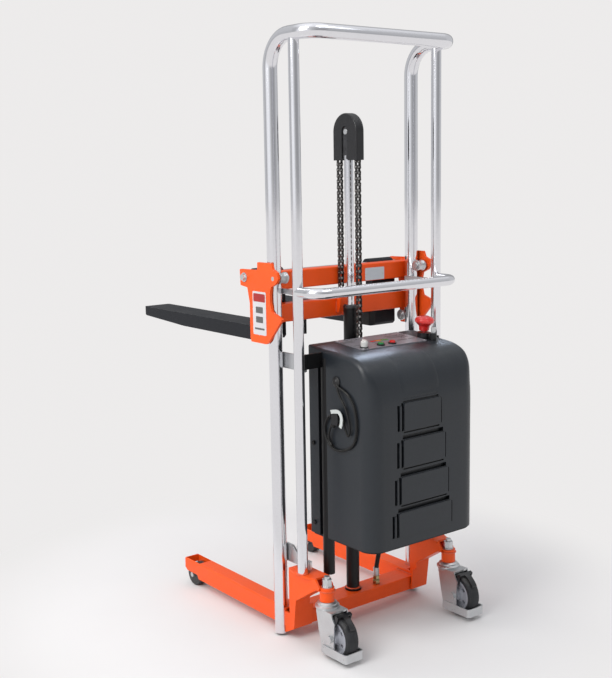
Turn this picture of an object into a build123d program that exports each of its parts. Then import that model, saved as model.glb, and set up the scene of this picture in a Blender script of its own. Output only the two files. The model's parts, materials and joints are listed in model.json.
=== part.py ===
from build123d import *
import os
from math import sin, cos, radians, sqrt

# Light battery-lift walkie stacker: bent-tube mast, chain-lifted fork
# carriage, box of hydraulics and battery behind the mast, two load legs with
# rollers in front and two braked swivel casters behind.
# Millimetres. +Z up, +Y towards the fork tips, +X to the operator's right.
# Origin on the floor under the middle of the machine's bounding box.
# Every y below is measured from the plane of the front mast tubes.

SIDES = ((-1, "left"), (1, "right"))

# ------------------------------------------------------- driving dimensions
MAST_Y = -199.0        # world Y of the front mast tubes' plane
MAST_X = 250.0         # mast tubes to the centre line
TUBE_R = 19.0          # front mast tube
TUBE_WALL = 2.5
TUBE_FOOT_Z = 7.0
TOP_Z = 1624.5         # centre height of the mast's top bar
TOP_Y = -167.0         # top bar of the mast loop
UPRIGHT_BEND = 80.0    # bends of the uprights into the side rails
TOP_BEND = 45.0        # corner bends of the top bar
REAR_R = 14.0          # rear tube and handle
REAR_WALL = 2.0
REAR_Y = -102.0        # rear tubes

LEG_X = 228.0          # leg centre line
LEG_W = 50.0
LEG_IN, LEG_OUT = LEG_X - LEG_W / 2, LEG_X + LEG_W / 2
LEG_Z0, LEG_Z1 = 31.0, 82.0
LEG_REAR, LEG_TIP = -21.0, 504.0
ROLLER_Y = 467.0       # load roller axle
ROLLER_R = 35.0
ROLLER_AXLE_R = 7.5
BRACKET_REAR = -61.0   # lower rear corner of the foot brackets
BRACKET_TOP = 206.0

STEM_X, STEM_Y = LEG_X, -178.0     # caster swivel axis
CASTER_R = 62.5
CASTER_Y = STEM_Y - 48.0           # caster axle, trailing the swivel axis

RAM_Y = -15.6          # lift cylinder axis
ROD_R = 12.5
ROD_Z0, ROD_Z1 = 500.0, 1322.0
BARREL_R = 19.0
BORE_R = 15.5
BARREL_Z0, BARREL_TOP = 72.0, 900.0
PITCH = 15.875         # roller chain pitch
PCD_R = PITCH / (2 * sin(radians(180 / 15)))   # 15 links to a turn of the wheel
CHAIN_WHEEL_Z = 1385.0
WHEEL_AXLE_R = 8.0
CHAIN_T = 7.3          # half depth of the chain plates
CHAIN_W = 8.2          # half width over the pins
CHAIN_GAP = 9.6        # slot between the link plates for the wheel's rim

PLATE_X0, PLATE_X1 = 272.0, 280.0  # carriage side plate faces
BAR_Y0, BAR_Y1 = 32.0, 72.0        # crossbar rear and front faces
BAR_UP = (963.0, 1013.0)
BAR_LO = (873.0, 923.0)
SHAFT_Y, SHAFT_Z = 96.0, 999.0     # fork shaft axis
SHAFT_R = 12.5
GUIDE_OFF = 33.0                   # guide roller axis from tube axis
GUIDE_AXLES = ((-GUIDE_OFF, 1003.0), (GUIDE_OFF, 852.0))   # (y, z), upper and lower
GUIDE_AXLE_R = 6.0
FORK_X0, FORK_X1 = 160.0, 250.0    # fork blade edges
FORK_TIP = 710.0
FORK_Z = 822.0                     # fork underside
FORK_TOP = 862.0                   # flat load face

BOX_XL, BOX_XR = -182.0, 205.0     # box sides, further out on the right
BOX_MID_X = (BOX_XL + BOX_XR) / 2
BOX_FRONT, BOX_BACK = -56.0, -309.0
CURVE_Y = -195.0                   # where the flat top turns into the rear curve
BOX_Z0 = 298.0
BOX_TOP_F, BOX_TOP_R = 820.0, 809.0    # top heights at the front and at CURVE_Y
SLOPE = (BOX_TOP_F - BOX_TOP_R) / (BOX_FRONT - CURVE_Y)
FLOOR_Z, FLOOR_T = 293.0, 4.5
POST_XL, POST_XR = BOX_XL + 16, BOX_XR - 16
POST_Y, POST_R = -112.0, 16.0
HOSE_X, HOSE_Y = 78.0, -30.0       # lower end of the hydraulic hose

os.makedirs("parts", exist_ok=True)


# ------------------------------------------------------------------ helpers
def plan(z=0.0):
    "horizontal plane at height z; sketches are (x, y)"
    return Plane(origin=(0, MAST_Y, z), x_dir=(1, 0, 0), z_dir=(0, 0, 1))


def side_view(x=0.0):
    "vertical plane facing +X at x; sketches are (y, z)"
    return Plane(origin=(x, MAST_Y, 0), x_dir=(0, 1, 0), z_dir=(1, 0, 0))


def rear_view(y=0.0):
    "vertical plane facing -Y at y; sketches are (x, z)"
    return Plane(origin=(0, MAST_Y + y, 0), x_dir=(1, 0, 0), z_dir=(0, -1, 0))


def point(x, y, z):
    return (x, MAST_Y + y, z)


def low_x(side, inner, outer):
    "lowest x of a piece that lies inner to outer from the centre line on one side"
    return min(side * inner, side * outer)


def draw_bent_line(corners, radii):
    "draw straight runs through the corners, with a 90 degree bend at each inner one"
    corners = [Vector(*corner) for corner in corners]
    start = corners[0]
    for before, corner, after, radius in zip(corners, corners[1:], corners[2:], radii):
        bend_in = corner + (before - corner).normalized() * radius
        bend_out = corner + (after - corner).normalized() * radius
        centre = bend_in + bend_out - corner
        Line(start, bend_in)
        ThreePointArc(bend_in, centre + (corner - centre) * cos(radians(45)), bend_out)
        start = bend_out
    Line(start, corners[-1])


def save(name, part):
    part.label = name
    export_step(part, f"parts/{name}.step")


# ------------------------------------------------------------ mast and frame
def mast_front_tube():
    "one tube: up the left side, round the top bar and down the right side"
    with BuildPart() as piece:
        with BuildLine() as path:
            draw_bent_line(
                (
                    point(-MAST_X, 0, TUBE_FOOT_Z), point(-MAST_X, 0, TOP_Z),
                    point(-MAST_X, TOP_Y, TOP_Z), point(MAST_X, TOP_Y, TOP_Z),
                    point(MAST_X, 0, TOP_Z), point(MAST_X, 0, TUBE_FOOT_Z),
                ),
                (UPRIGHT_BEND, TOP_BEND, TOP_BEND, UPRIGHT_BEND),
            )
        foot = point(-MAST_X, 0, TUBE_FOOT_Z)
        with BuildSketch(Plane(origin=foot, x_dir=(1, 0, 0), z_dir=(0, 0, 1))):
            Circle(TUBE_R)
            Circle(TUBE_R - TUBE_WALL, mode=Mode.SUBTRACT)
        sweep(path=path.line)
    return piece.part


def mast_rear_tubes():
    "two tubes that stand on the foot brackets and are coped under the side rails"
    with BuildPart() as piece:
        with BuildSketch(plan(BRACKET_TOP)):
            with Locations((-MAST_X, REAR_Y), (MAST_X, REAR_Y)):
                Circle(REAR_R)
                Circle(REAR_R - REAR_WALL, mode=Mode.SUBTRACT)
        extrude(amount=TOP_Z - BRACKET_TOP)
        with BuildSketch(rear_view(REAR_Y - 40)):
            with Locations((-MAST_X, TOP_Z), (MAST_X, TOP_Z)):
                Circle(TUBE_R)
        extrude(amount=-80, mode=Mode.SUBTRACT)
    return piece.part


def handle_bar():
    "shallow U welded to the backs of the rear tubes"
    bar_y, bar_z, bend = -182.0, 971.0, 40.0
    end_y = REAR_Y - 2
    with BuildPart() as piece:
        with BuildLine() as path:
            draw_bent_line(
                (
                    point(-MAST_X, end_y, bar_z), point(-MAST_X, bar_y, bar_z),
                    point(MAST_X, bar_y, bar_z), point(MAST_X, end_y, bar_z),
                ),
                (bend, bend),
            )
        end = point(-MAST_X, end_y, bar_z)
        with BuildSketch(Plane(origin=end, x_dir=(1, 0, 0), z_dir=(0, -1, 0))):
            Circle(REAR_R)
            Circle(REAR_R - REAR_WALL, mode=Mode.SUBTRACT)
        sweep(path=path.line)
        # cope the ends round the rear tubes
        with BuildSketch(plan(bar_z - 30)):
            with Locations((-MAST_X, REAR_Y), (MAST_X, REAR_Y)):
                Circle(REAR_R)
        extrude(amount=60, mode=Mode.SUBTRACT)
    return piece.part


TIE_X0, TIE_X1 = 224.0, 231.0      # tie plate faces


def mast_tie_plates():
    "plates and bars between the front and rear tubes"
    spacer_x = MAST_X - REAR_R
    bar_y, bar_length = -50.0, 104.0
    upper_z, upper_height = 965.0, 14.0
    with BuildPart() as piece:
        for side in (-1, 1):
            with BuildSketch(side_view(low_x(side, TIE_X0, TIE_X1))):
                with Locations((bar_y, 778.0)):
                    Rectangle(bar_length, 42.0)
                with Locations((bar_y, upper_z)):
                    Rectangle(bar_length, upper_height)
                with BuildLine():
                    Polyline(
                        (2, 212), (-110, 212), (-110, 236), (-66, 236), (-30, 262), (2, 262),
                        close=True,
                    )
                make_face()
            extrude(amount=TIE_X1 - TIE_X0)
            # welded spacers from the plates out to the thinner rear tube
            with BuildSketch(side_view(side * spacer_x)):
                with Locations((REAR_Y, 761.0), (REAR_Y, 795.0)):
                    Rectangle(8.0, 8.0)
                with Locations((REAR_Y, upper_z)):
                    Rectangle(8.0, upper_height)
                with Locations((REAR_Y, 224.0)):
                    Rectangle(8.0, 24.0)
            extrude(amount=-side * (spacer_x - TIE_X1))
    return piece.part


def box_brackets():
    "hang the box on the rear tubes: a saddle on the tube's inner side and a web"
    with BuildPart() as piece:
        for side, x_box in ((-1, BOX_XL), (1, BOX_XR)):
            x_tube = side * (MAST_X - REAR_R)
            with BuildSketch(plan(766)):
                with Locations((side * MAST_X, REAR_Y)):
                    Circle(REAR_R + 5)
                with Locations((side * (MAST_X + 10), REAR_Y)):
                    Rectangle(30.0, 60.0, mode=Mode.SUBTRACT)
                with Locations((side * MAST_X, REAR_Y + 20)):
                    Rectangle(60.0, 50.0, mode=Mode.SUBTRACT)
                with Locations(((x_tube + x_box) / 2, POST_Y)):
                    Rectangle(abs(x_tube - x_box), 6.0)
                with Locations((side * MAST_X, REAR_Y)):
                    Circle(REAR_R, mode=Mode.SUBTRACT)
            extrude(amount=40)
    return piece.part


# ---------------------------------------------------------------- base frame
def leg(side):
    "square tube, notched round the mast tube, opened over and under the roller"
    wall = 4
    x_low = low_x(side, LEG_IN, LEG_OUT)
    with BuildPart() as piece:
        with BuildSketch(side_view(x_low)):
            with BuildLine():
                Polyline(
                    (LEG_REAR, LEG_Z0), (428, LEG_Z0), (436, LEG_Z0 + 12),
                    (LEG_TIP - 12, LEG_Z0 + 12), (LEG_TIP, LEG_Z0 + 20), (LEG_TIP, LEG_Z1),
                    (LEG_REAR, LEG_Z1), close=True,
                )
            make_face()
        extrude(amount=LEG_W)
        fillet(piece.edges().filter_by(Axis.Y).sort_by(Axis.Z)[-2:], 4)
        with BuildSketch(side_view(x_low + wall)):
            with Locations((200, (LEG_Z0 + LEG_Z1) / 2)):
                Rectangle(454, LEG_Z1 - LEG_Z0 - 2 * wall)
        extrude(amount=LEG_W - 2 * wall, mode=Mode.SUBTRACT)
        # openings under and over the roller
        with BuildSketch(plan(0)):
            with Locations((side * LEG_X, 467)):
                Rectangle(LEG_W - 8, 82)
        extrude(amount=60, mode=Mode.SUBTRACT)
        with BuildSketch(plan(60)):
            with Locations((side * LEG_X, 463)):
                Rectangle(LEG_W - 7, 76)
        extrude(amount=40, mode=Mode.SUBTRACT)
        # mast tube notch
        with BuildSketch(plan(0)):
            with Locations((side * MAST_X, 0)):
                Circle(TUBE_R)
        extrude(amount=120, mode=Mode.SUBTRACT)
        # roller axle holes
        with BuildSketch(side_view(x_low - 5)):
            with Locations((ROLLER_Y, ROLLER_R)):
                Circle(ROLLER_AXLE_R)
        extrude(amount=LEG_W + 10, mode=Mode.SUBTRACT)
    return piece.part


def load_roller(side):
    "front load roller, turning on its fixed axle"
    width = 34
    with BuildPart() as piece:
        with BuildSketch(side_view(side * LEG_X - width / 2)):
            with Locations((ROLLER_Y, ROLLER_R)):
                Circle(ROLLER_R)
                Circle(ROLLER_AXLE_R + 0.05, mode=Mode.SUBTRACT)
        extrude(amount=width)
        circles = piece.edges().filter_by(GeomType.CIRCLE)
        fillet(circles.filter_by(lambda edge: edge.radius > 30), 3)
    return piece.part


# foot bracket plate outlines (y, z); the two plates share the upper rear part
BRACKET_UPPER = (
    (BRACKET_REAR, 33), (BRACKET_REAR - 11, 119), (-160, 177), (-174, 177),
    (-174, 185), (-158, BRACKET_TOP), (-42, BRACKET_TOP),
)
BRACKET_OUTER = ((LEG_REAR, 11), *BRACKET_UPPER, (-42, 73), (LEG_REAR, 73))
BRACKET_INNER = ((LEG_REAR, LEG_Z0), *BRACKET_UPPER, (-42, LEG_Z1), (LEG_REAR, LEG_Z1))


def caster_bracket(side):
    "foot bracket: outer and inner plates, bent rear flange, top plate, caster socket"
    plate = 6
    x_in, x_out = side * LEG_IN, side * LEG_OUT
    with BuildPart() as piece:
        for outline, inner_x in ((BRACKET_OUTER, LEG_OUT - plate), (BRACKET_INNER, LEG_IN)):
            with BuildSketch(side_view(low_x(side, inner_x, inner_x + plate))):
                with BuildLine():
                    Polyline(*outline, close=True)
                make_face()
            extrude(amount=plate)
        # bent rear flange between the plates
        with BuildSketch(side_view(min(x_in, x_out))):
            with BuildLine():
                Polyline(
                    (BRACKET_REAR, 33), (BRACKET_REAR - 11, 119), (-160, 177), (-160, 184),
                    (BRACKET_REAR - 6, 122), (BRACKET_REAR + 6, 33), close=True,
                )
            make_face()
        extrude(amount=LEG_W)
        # inward extension of the flange at the foot
        with BuildSketch(side_view(low_x(side, LEG_IN - 13, LEG_IN))):
            with BuildLine():
                Polyline(
                    (BRACKET_REAR, 33), (BRACKET_REAR - 8, 96), (BRACKET_REAR - 3, 96),
                    (BRACKET_REAR + 5, 33), close=True,
                )
            make_face()
        extrude(amount=13)
        # top plate that the rear tube stands on
        with BuildSketch(plan(BRACKET_TOP - plate)):
            with BuildLine():
                Polyline(
                    (x_in, -42), (x_out, -42), (x_out + side * 10, -80),
                    (x_out + side * 10, -124), (x_out, -146), (x_out, -154), (x_in, -154),
                    close=True,
                )
            make_face()
        extrude(amount=plate)
        # caster socket tube and its bore
        with BuildSketch(plan(148)):
            with Locations((side * STEM_X, STEM_Y)):
                Circle(20)
        extrude(amount=37)
        with BuildSketch(plan(140)):
            with Locations((side * STEM_X, STEM_Y)):
                Circle(8.2)
        extrude(amount=80, mode=Mode.SUBTRACT)
        # mast tube notch
        with BuildSketch(plan(0)):
            with Locations((side * MAST_X, 0)):
                Circle(TUBE_R)
        extrude(amount=220, mode=Mode.SUBTRACT)
    return piece.part


def base_crossmember():
    "closed box section that butts against the legs' inner faces"
    depth, height, wall = 72.0, 41.0, 5.0
    with BuildPart() as piece:
        with BuildSketch(side_view(-LEG_IN)):
            with Locations((-20.0, 51.5)):
                RectangleRounded(depth, height, 4)
                RectangleRounded(depth - 2 * wall, height - 2 * wall, 2, mode=Mode.SUBTRACT)
        extrude(amount=2 * LEG_IN)
        # port hole for the hose union beside the cylinder
        with BuildSketch(plan(60)):
            with Locations((HOSE_X, HOSE_Y)):
                Circle(7.0)
        extrude(amount=20, mode=Mode.SUBTRACT)
    return piece.part


# ------------------------------------------------------------- lift cylinder
def cylinder_barrel():
    with BuildPart() as piece:
        with BuildSketch(plan(BARREL_Z0)):
            with Locations((0, RAM_Y)):
                Circle(BARREL_R)
        extrude(amount=BARREL_TOP - BARREL_Z0)
        with BuildSketch(plan(BARREL_Z0 + 12)):
            with Locations((0, RAM_Y)):
                Circle(BORE_R)
        extrude(amount=BARREL_TOP, mode=Mode.SUBTRACT)
        # foot flange
        with BuildSketch(plan(BARREL_Z0)):
            with Locations((0, RAM_Y)):
                Circle(BARREL_R + 5)
                Circle(BARREL_R - 2, mode=Mode.SUBTRACT)
        extrude(amount=6)
    return piece.part


def cylinder_gland():
    inner_r = ROD_R + 0.06
    centre = point(0, RAM_Y, 0)
    with BuildPart() as piece:
        with BuildSketch(Plane(origin=centre, x_dir=(1, 0, 0), z_dir=(0, -1, 0))):
            with BuildLine():
                Polyline(
                    (inner_r, BARREL_TOP - 24), (BORE_R, BARREL_TOP - 24), (BORE_R, BARREL_TOP),
                    (20, BARREL_TOP), (20, BARREL_TOP + 7), (17, BARREL_TOP + 9),
                    (inner_r, BARREL_TOP + 9), close=True,
                )
            make_face()
        revolve(axis=Axis(centre, (0, 0, 1)))
    return piece.part


def piston_rod():
    with BuildPart() as piece:
        with BuildSketch(plan(ROD_Z0)):
            with Locations((0, RAM_Y)):
                Circle(ROD_R)
        extrude(amount=ROD_Z1 - ROD_Z0)
        chamfer(piece.edges().filter_by(GeomType.CIRCLE), 1)
    return piece.part


def piston():
    height = 26
    with BuildPart() as piece:
        with BuildSketch(plan(ROD_Z0 - height)):
            with Locations((0, RAM_Y)):
                Circle(BORE_R - 0.08)
        extrude(amount=height)
        # groove round the middle
        with BuildSketch(plan(ROD_Z0 - 17)):
            with Locations((0, RAM_Y)):
                Circle(16)
                Circle(13.5, mode=Mode.SUBTRACT)
        extrude(amount=6, mode=Mode.SUBTRACT)
    return piece.part


def chain_wheel_yoke():
    "yoke on the ram end: a cross plate, a boss and two cheeks for the wheel's axle"
    half_width, cheek, boss = 11.6, 2.4, 11
    with BuildPart() as piece:
        with BuildSketch(plan(ROD_Z1)):
            with Locations((0, RAM_Y)):
                Rectangle(2 * half_width, 32.0)
        extrude(amount=12)
        with BuildSketch(plan(ROD_Z1 - boss)):
            with Locations((0, RAM_Y)):
                Circle(16.0)
                Circle(ROD_R, mode=Mode.SUBTRACT)
                Rectangle(24.0, 40.0, mode=Mode.INTERSECT)
        extrude(amount=boss)
        for x in (-half_width, half_width - cheek):
            with BuildSketch(side_view(x)):
                with BuildLine():
                    Polyline(
                        (RAM_Y - 16, ROD_Z1 + 8), (RAM_Y + 16, ROD_Z1 + 8),
                        (RAM_Y + 13, CHAIN_WHEEL_Z), (RAM_Y - 13, CHAIN_WHEEL_Z), close=True,
                    )
                make_face()
                with Locations((RAM_Y, CHAIN_WHEEL_Z)):
                    Circle(13)
            extrude(amount=cheek)
        with BuildSketch(side_view(-20)):
            with Locations((RAM_Y, CHAIN_WHEEL_Z)):
                Circle(WHEEL_AXLE_R)
        extrude(amount=40, mode=Mode.SUBTRACT)
    return piece.part


def chain_wheel():
    "disc with five holes and a wider hub"
    bore_r = WHEEL_AXLE_R + 0.06
    disc_width, hub_width = 8.6, 18
    with BuildPart() as piece:
        with BuildSketch(side_view(-disc_width / 2)):
            with Locations((RAM_Y, CHAIN_WHEEL_Z)):
                Circle(PCD_R - 5.2)
            with Locations((RAM_Y, CHAIN_WHEEL_Z)):
                Circle(bore_r, mode=Mode.SUBTRACT)
                with PolarLocations(20, 5):
                    Circle(4.5, mode=Mode.SUBTRACT)
        extrude(amount=disc_width)
        with BuildSketch(side_view(-hub_width / 2)):
            with Locations((RAM_Y, CHAIN_WHEEL_Z)):
                Circle(13)
                Circle(bore_r, mode=Mode.SUBTRACT)
        extrude(amount=hub_width)
    return piece.part


def chain_wheel_axle():
    length = 23.6
    with BuildPart() as piece:
        with BuildSketch(side_view(-length / 2)):
            with Locations((RAM_Y, CHAIN_WHEEL_Z)):
                Circle(WHEEL_AXLE_R)
        extrude(amount=length)
        chamfer(piece.edges().filter_by(GeomType.CIRCLE), 0.8)
    return piece.part


def chain_wheel_cover():
    "moulded arch over the chain wheel, open below for the chain and the ram"
    outer_r, inner_r = 50.0, 47.0
    half_width, side_wall = 14.5, 2.5
    z0 = 1308.0
    mid_z, height = (CHAIN_WHEEL_Z + z0) / 2, CHAIN_WHEEL_Z - z0
    slot = 23
    with BuildPart() as piece:
        with BuildSketch(side_view(-half_width)):
            with Locations((RAM_Y, CHAIN_WHEEL_Z)):
                Circle(outer_r)
            with Locations((RAM_Y, mid_z)):
                Rectangle(2 * outer_r, height)
        extrude(amount=2 * half_width)
        # round the outline of both side faces, except along the open bottom
        for face in (0, -1):
            face_edges = piece.edges().group_by(Axis.X)[face]
            fillet(face_edges.filter_by(lambda edge: edge.center().Z > z0 + 4), 4.6)
        with BuildSketch(side_view(-half_width + side_wall)):
            with Locations((RAM_Y, CHAIN_WHEEL_Z)):
                Circle(inner_r)
            with Locations((RAM_Y, mid_z - 5)):
                Rectangle(2 * inner_r, height + 10)
        extrude(amount=2 * (half_width - side_wall), mode=Mode.SUBTRACT)
        # long central slots in the two side faces, over the ram's end
        with BuildSketch(side_view(-half_width - 5)):
            with Locations((RAM_Y, z0 + 35)):
                Rectangle(slot, 90)
            with Locations((RAM_Y, z0 + 80)):
                Circle(slot / 2)
        extrude(amount=2 * half_width + 10, mode=Mode.SUBTRACT)
    return piece.part


def chain_wrap():
    "chain over the wheel, drawn as one guide band around its rim"
    with BuildPart() as piece:
        with BuildSketch(side_view(-CHAIN_W)):
            with Locations((RAM_Y, CHAIN_WHEEL_Z)):
                Circle(PCD_R + CHAIN_T)
                Circle(PCD_R - CHAIN_T, mode=Mode.SUBTRACT)
            with Locations((RAM_Y, CHAIN_WHEEL_Z - 50)):
                Rectangle(120, 100, mode=Mode.SUBTRACT)
        extrude(amount=2 * CHAIN_W)
        with BuildSketch(side_view(-CHAIN_GAP / 2)):
            with Locations((RAM_Y, CHAIN_WHEEL_Z)):
                Circle(PCD_R + 4.6)
        extrude(amount=CHAIN_GAP, mode=Mode.SUBTRACT)
    return piece.part


def chain_fall(y, z0):
    "straight run of chain from z0 up to the wheel"
    with BuildPart() as piece:
        with BuildSketch(plan(z0)):
            with Locations((0, y)):
                Rectangle(2 * CHAIN_W, 2 * CHAIN_T)
        extrude(amount=CHAIN_WHEEL_Z - 1 - z0)
        # gap between the link plates where the wheel's rim runs in
        with BuildSketch(plan(CHAIN_WHEEL_Z - 70)):
            with Locations((0, y)):
                Rectangle(CHAIN_GAP, 20)
        extrude(amount=80, mode=Mode.SUBTRACT)
    return piece.part


def chain_anchor_fixed():
    "fixed end of the chain: clamp on the barrel with a lug behind"
    with BuildPart() as piece:
        with BuildSketch(plan(680)):
            with Locations((0, RAM_Y)):
                Circle(BARREL_R + 6)
            with Locations((0, RAM_Y - PCD_R + 2)):
                Rectangle(20, 18)
            with Locations((0, RAM_Y - 24)):
                Rectangle(20, 16)
            with Locations((0, RAM_Y)):
                Circle(BARREL_R, mode=Mode.SUBTRACT)
        extrude(amount=36)
    return piece.part


# ------------------------------------------------------------------ carriage
# side plate outline (y, z)
SIDE_PLATE = (
    (116, 976), (118, 1020), (36, 1022), (35, 1043), (-27, 1043), (-34, 1027), (-52, 1020),
    (-57, 1003), (-46, 990), (-24, 980), (-19, 960), (-19, 938), (-26, 914), (-72, 899),
    (-10, 832), (2, 825), (70, 825), (74, 835), (74, 930), (84, 972),
)


def carriage_side_plate(side):
    plate_x, thickness = low_x(side, PLATE_X0, PLATE_X1), PLATE_X1 - PLATE_X0
    with BuildPart() as piece:
        with BuildSketch(side_view(plate_x)):
            with BuildLine():
                Polyline(*SIDE_PLATE, close=True)
            make_face()
        extrude(amount=thickness)
        fillet(piece.edges().filter_by(Axis.X), 3)
        with BuildSketch(side_view(plate_x - 1)):
            with Locations((SHAFT_Y, SHAFT_Z)):
                Circle(SHAFT_R)
            with Locations(*GUIDE_AXLES):
                Circle(GUIDE_AXLE_R)
        extrude(amount=thickness + 2, mode=Mode.SUBTRACT)
    return piece.part


def carriage_crossbars():
    "two closed box sections between the side plates"
    wall = 4
    depth = BAR_Y1 - BAR_Y0
    with BuildPart() as piece:
        with BuildSketch(side_view(-PLATE_X0)):
            for z0, z1 in (BAR_UP, BAR_LO):
                with Locations(((BAR_Y0 + BAR_Y1) / 2, (z0 + z1) / 2)):
                    RectangleRounded(depth, z1 - z0, 4)
                    RectangleRounded(
                        depth - 2 * wall, z1 - z0 - 2 * wall, 2, mode=Mode.SUBTRACT
                    )
        extrude(amount=2 * PLATE_X0)
    return piece.part


FRONT_FALL_Z0 = 926.0      # lower end of the chain's front fall, on top of its lug


def chain_anchor_carriage():
    "lug for the chain end, welded to the lower crossbar's back face"
    width = 22
    with BuildPart() as piece:
        with BuildSketch(side_view(-width / 2)):
            with BuildLine():
                Polyline(
                    (BAR_Y0, 882), (BAR_Y0, 918), (30, FRONT_FALL_Z0), (15, FRONT_FALL_Z0),
                    (15, 904), (22, 884), close=True,
                )
            make_face()
        extrude(amount=width)
    return piece.part


def carriage_bumpers():
    "two blocks under the lower crossbar"
    z0 = 833
    with BuildPart() as piece:
        with BuildSketch(plan(z0)):
            with Locations((-127, 50), (127, 50)):
                RectangleRounded(24, 30, 3)
        extrude(amount=BAR_LO[0] - z0)
    return piece.part


def fork_shaft():
    with BuildPart() as piece:
        with BuildSketch(side_view(-PLATE_X1)):
            with Locations((SHAFT_Y, SHAFT_Z)):
                Circle(SHAFT_R)
        extrude(amount=2 * PLATE_X1)
    return piece.part


def carriage_fasteners():
    "guide roller axles with collars, and washers and hex heads on the fork shaft"
    # inner x, outer x, radius: axle, then the collars inside and outside the roller
    axle_discs = ((232.0, PLATE_X1, GUIDE_AXLE_R), (231.6, 236.9, 9.0), (263.3, 271.9, 9.0))
    washer_x, head_x = PLATE_X1 + 2.5, PLATE_X1 + 9.0     # outer faces
    with BuildPart() as piece:
        for side in (-1, 1):
            for inner, outer, radius in axle_discs:
                with BuildSketch(side_view(low_x(side, inner, outer))):
                    with Locations(*GUIDE_AXLES):
                        Circle(radius)
                extrude(amount=outer - inner)
            with BuildSketch(side_view(low_x(side, PLATE_X1, washer_x))):
                with Locations((SHAFT_Y, SHAFT_Z)):
                    Circle(13.0)
            extrude(amount=washer_x - PLATE_X1)
            with BuildSketch(side_view(low_x(side, washer_x, head_x))):
                with Locations((SHAFT_Y, SHAFT_Z)):
                    RegularPolygon(9.5, 6)
            extrude(amount=head_x - washer_x)
    return piece.part


def guide_rollers(axle_y, axle_z):
    "coaxial pair of rollers, grooved to fit the mast tubes"
    width = 26
    with BuildPart() as piece:
        for side in (-1, 1):
            with BuildSketch(side_view(side * MAST_X - width / 2)):
                with Locations((axle_y, axle_z)):
                    Circle(15.6)
            extrude(amount=width)
        for side in (-1, 1):
            centre = point(side * MAST_X, axle_y, axle_z)
            with BuildSketch(Plane(origin=centre, x_dir=(1, 0, 0), z_dir=(0, 0, 1))):
                with Locations((0, GUIDE_OFF)):
                    Circle(TUBE_R + 0.4)
            revolve(axis=Axis(centre, (1, 0, 0)), mode=Mode.SUBTRACT)
        with BuildSketch(side_view(-MAST_X - 40)):
            with Locations((axle_y, axle_z)):
                Circle(GUIDE_AXLE_R + 0.05)
        extrude(amount=2 * MAST_X + 80, mode=Mode.SUBTRACT)
    return piece.part


def fork(side):
    "hub on the shaft, shank against the lower crossbar, tapering hollow blade"
    width = FORK_X1 - FORK_X0
    shank_back = BAR_Y1 + 0.6
    edge_x = low_x(side, FORK_X0, FORK_X1)
    hollow_y0, hollow_y1, hollow_width = 126, FORK_TIP - 90, 76
    hollow_z0, hollow_z1 = FORK_Z - 4, FORK_TOP - 8
    with BuildPart() as piece:
        with BuildSketch(side_view(edge_x)):
            with BuildLine():
                Polyline(
                    (shank_back, 830), (80, FORK_Z), (470, FORK_Z + 1),
                    (FORK_TIP - 20, FORK_Z + 12), (FORK_TIP, FORK_Z + 17),
                    (FORK_TIP, FORK_TOP - 4), (FORK_TIP - 6, FORK_TOP), (118, FORK_TOP),
                    (104, FORK_TOP + 12), (101, 905), (101, SHAFT_Z),
                    (shank_back, SHAFT_Z - 30), close=True,
                )
            make_face()
            with Locations((SHAFT_Y, SHAFT_Z)):
                Circle(22)
            with Locations((SHAFT_Y, SHAFT_Z)):
                Circle(SHAFT_R + 0.05, mode=Mode.SUBTRACT)
        extrude(amount=width)
        # flat on the back of the hub where it faces the upper crossbar
        with BuildSketch(side_view(edge_x - 1)):
            with Locations((shank_back - 20, 980)):
                Rectangle(40, 160)
        extrude(amount=width + 2, mode=Mode.SUBTRACT)
        # hollow underside
        with BuildSketch(side_view(side * (FORK_X0 + FORK_X1) / 2 - hollow_width / 2)):
            with BuildLine():
                Polyline(
                    (hollow_y0, hollow_z0), (hollow_y1, hollow_z0), (hollow_y1, hollow_z1),
                    (hollow_y0, hollow_z1), close=True,
                )
            make_face()
        extrude(amount=hollow_width, mode=Mode.SUBTRACT)
        fillet(piece.edges().filter_by(Axis.Z).group_by(Axis.Y)[-1], 16)
    return piece.part


# ------------------------------------------------------------------- casters
CROWN_Z, CROWN_T = 127.5, 5.0
CHEEK_X, CHEEK_T = 28.5, 3.5       # cheek's outer face from the caster's middle
BRAKE_PIN = (CASTER_Y - 10, 104)   # (y, z)
BRAKE_PIN_R = 3.0

# half profiles (x from the wheel's middle, radius)
TYRE_HALF = ((17, 47), (19, 51), (18, 58), (13, 61.5), (7, CASTER_R))
HUB_HALF = ((23.5, 6.05), (23.5, 15), (14, 17), (10, 22), (10, 36), (17, 41), (17, 47))


def wheel_profile(half, centre_x):
    "whole profile (x, z) above the caster axle, from its half"
    left = [(centre_x - x, CASTER_R + radius) for x, radius in half]
    right = [(centre_x + x, CASTER_R + radius) for x, radius in reversed(half)]
    return left + right


def caster_stems():
    "bolts up the swivel axes, with a foot collar, a washer and a hex nut"
    stem_z0 = 117.5
    with BuildPart() as piece:
        for side in (-1, 1):
            # start height, radius, length: foot collar, stem, washer
            for z0, radius, length in ((stem_z0, 12, 7), (stem_z0, 8.0, 98), (185, 15.0, 3)):
                with BuildSketch(plan(z0)):
                    with Locations((side * STEM_X, STEM_Y)):
                        Circle(radius)
                extrude(amount=length)
            with BuildSketch(plan(188)):
                with Locations((side * STEM_X, STEM_Y)):
                    RegularPolygon(13.5, 6)
            extrude(amount=20)
    return piece.part


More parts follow.
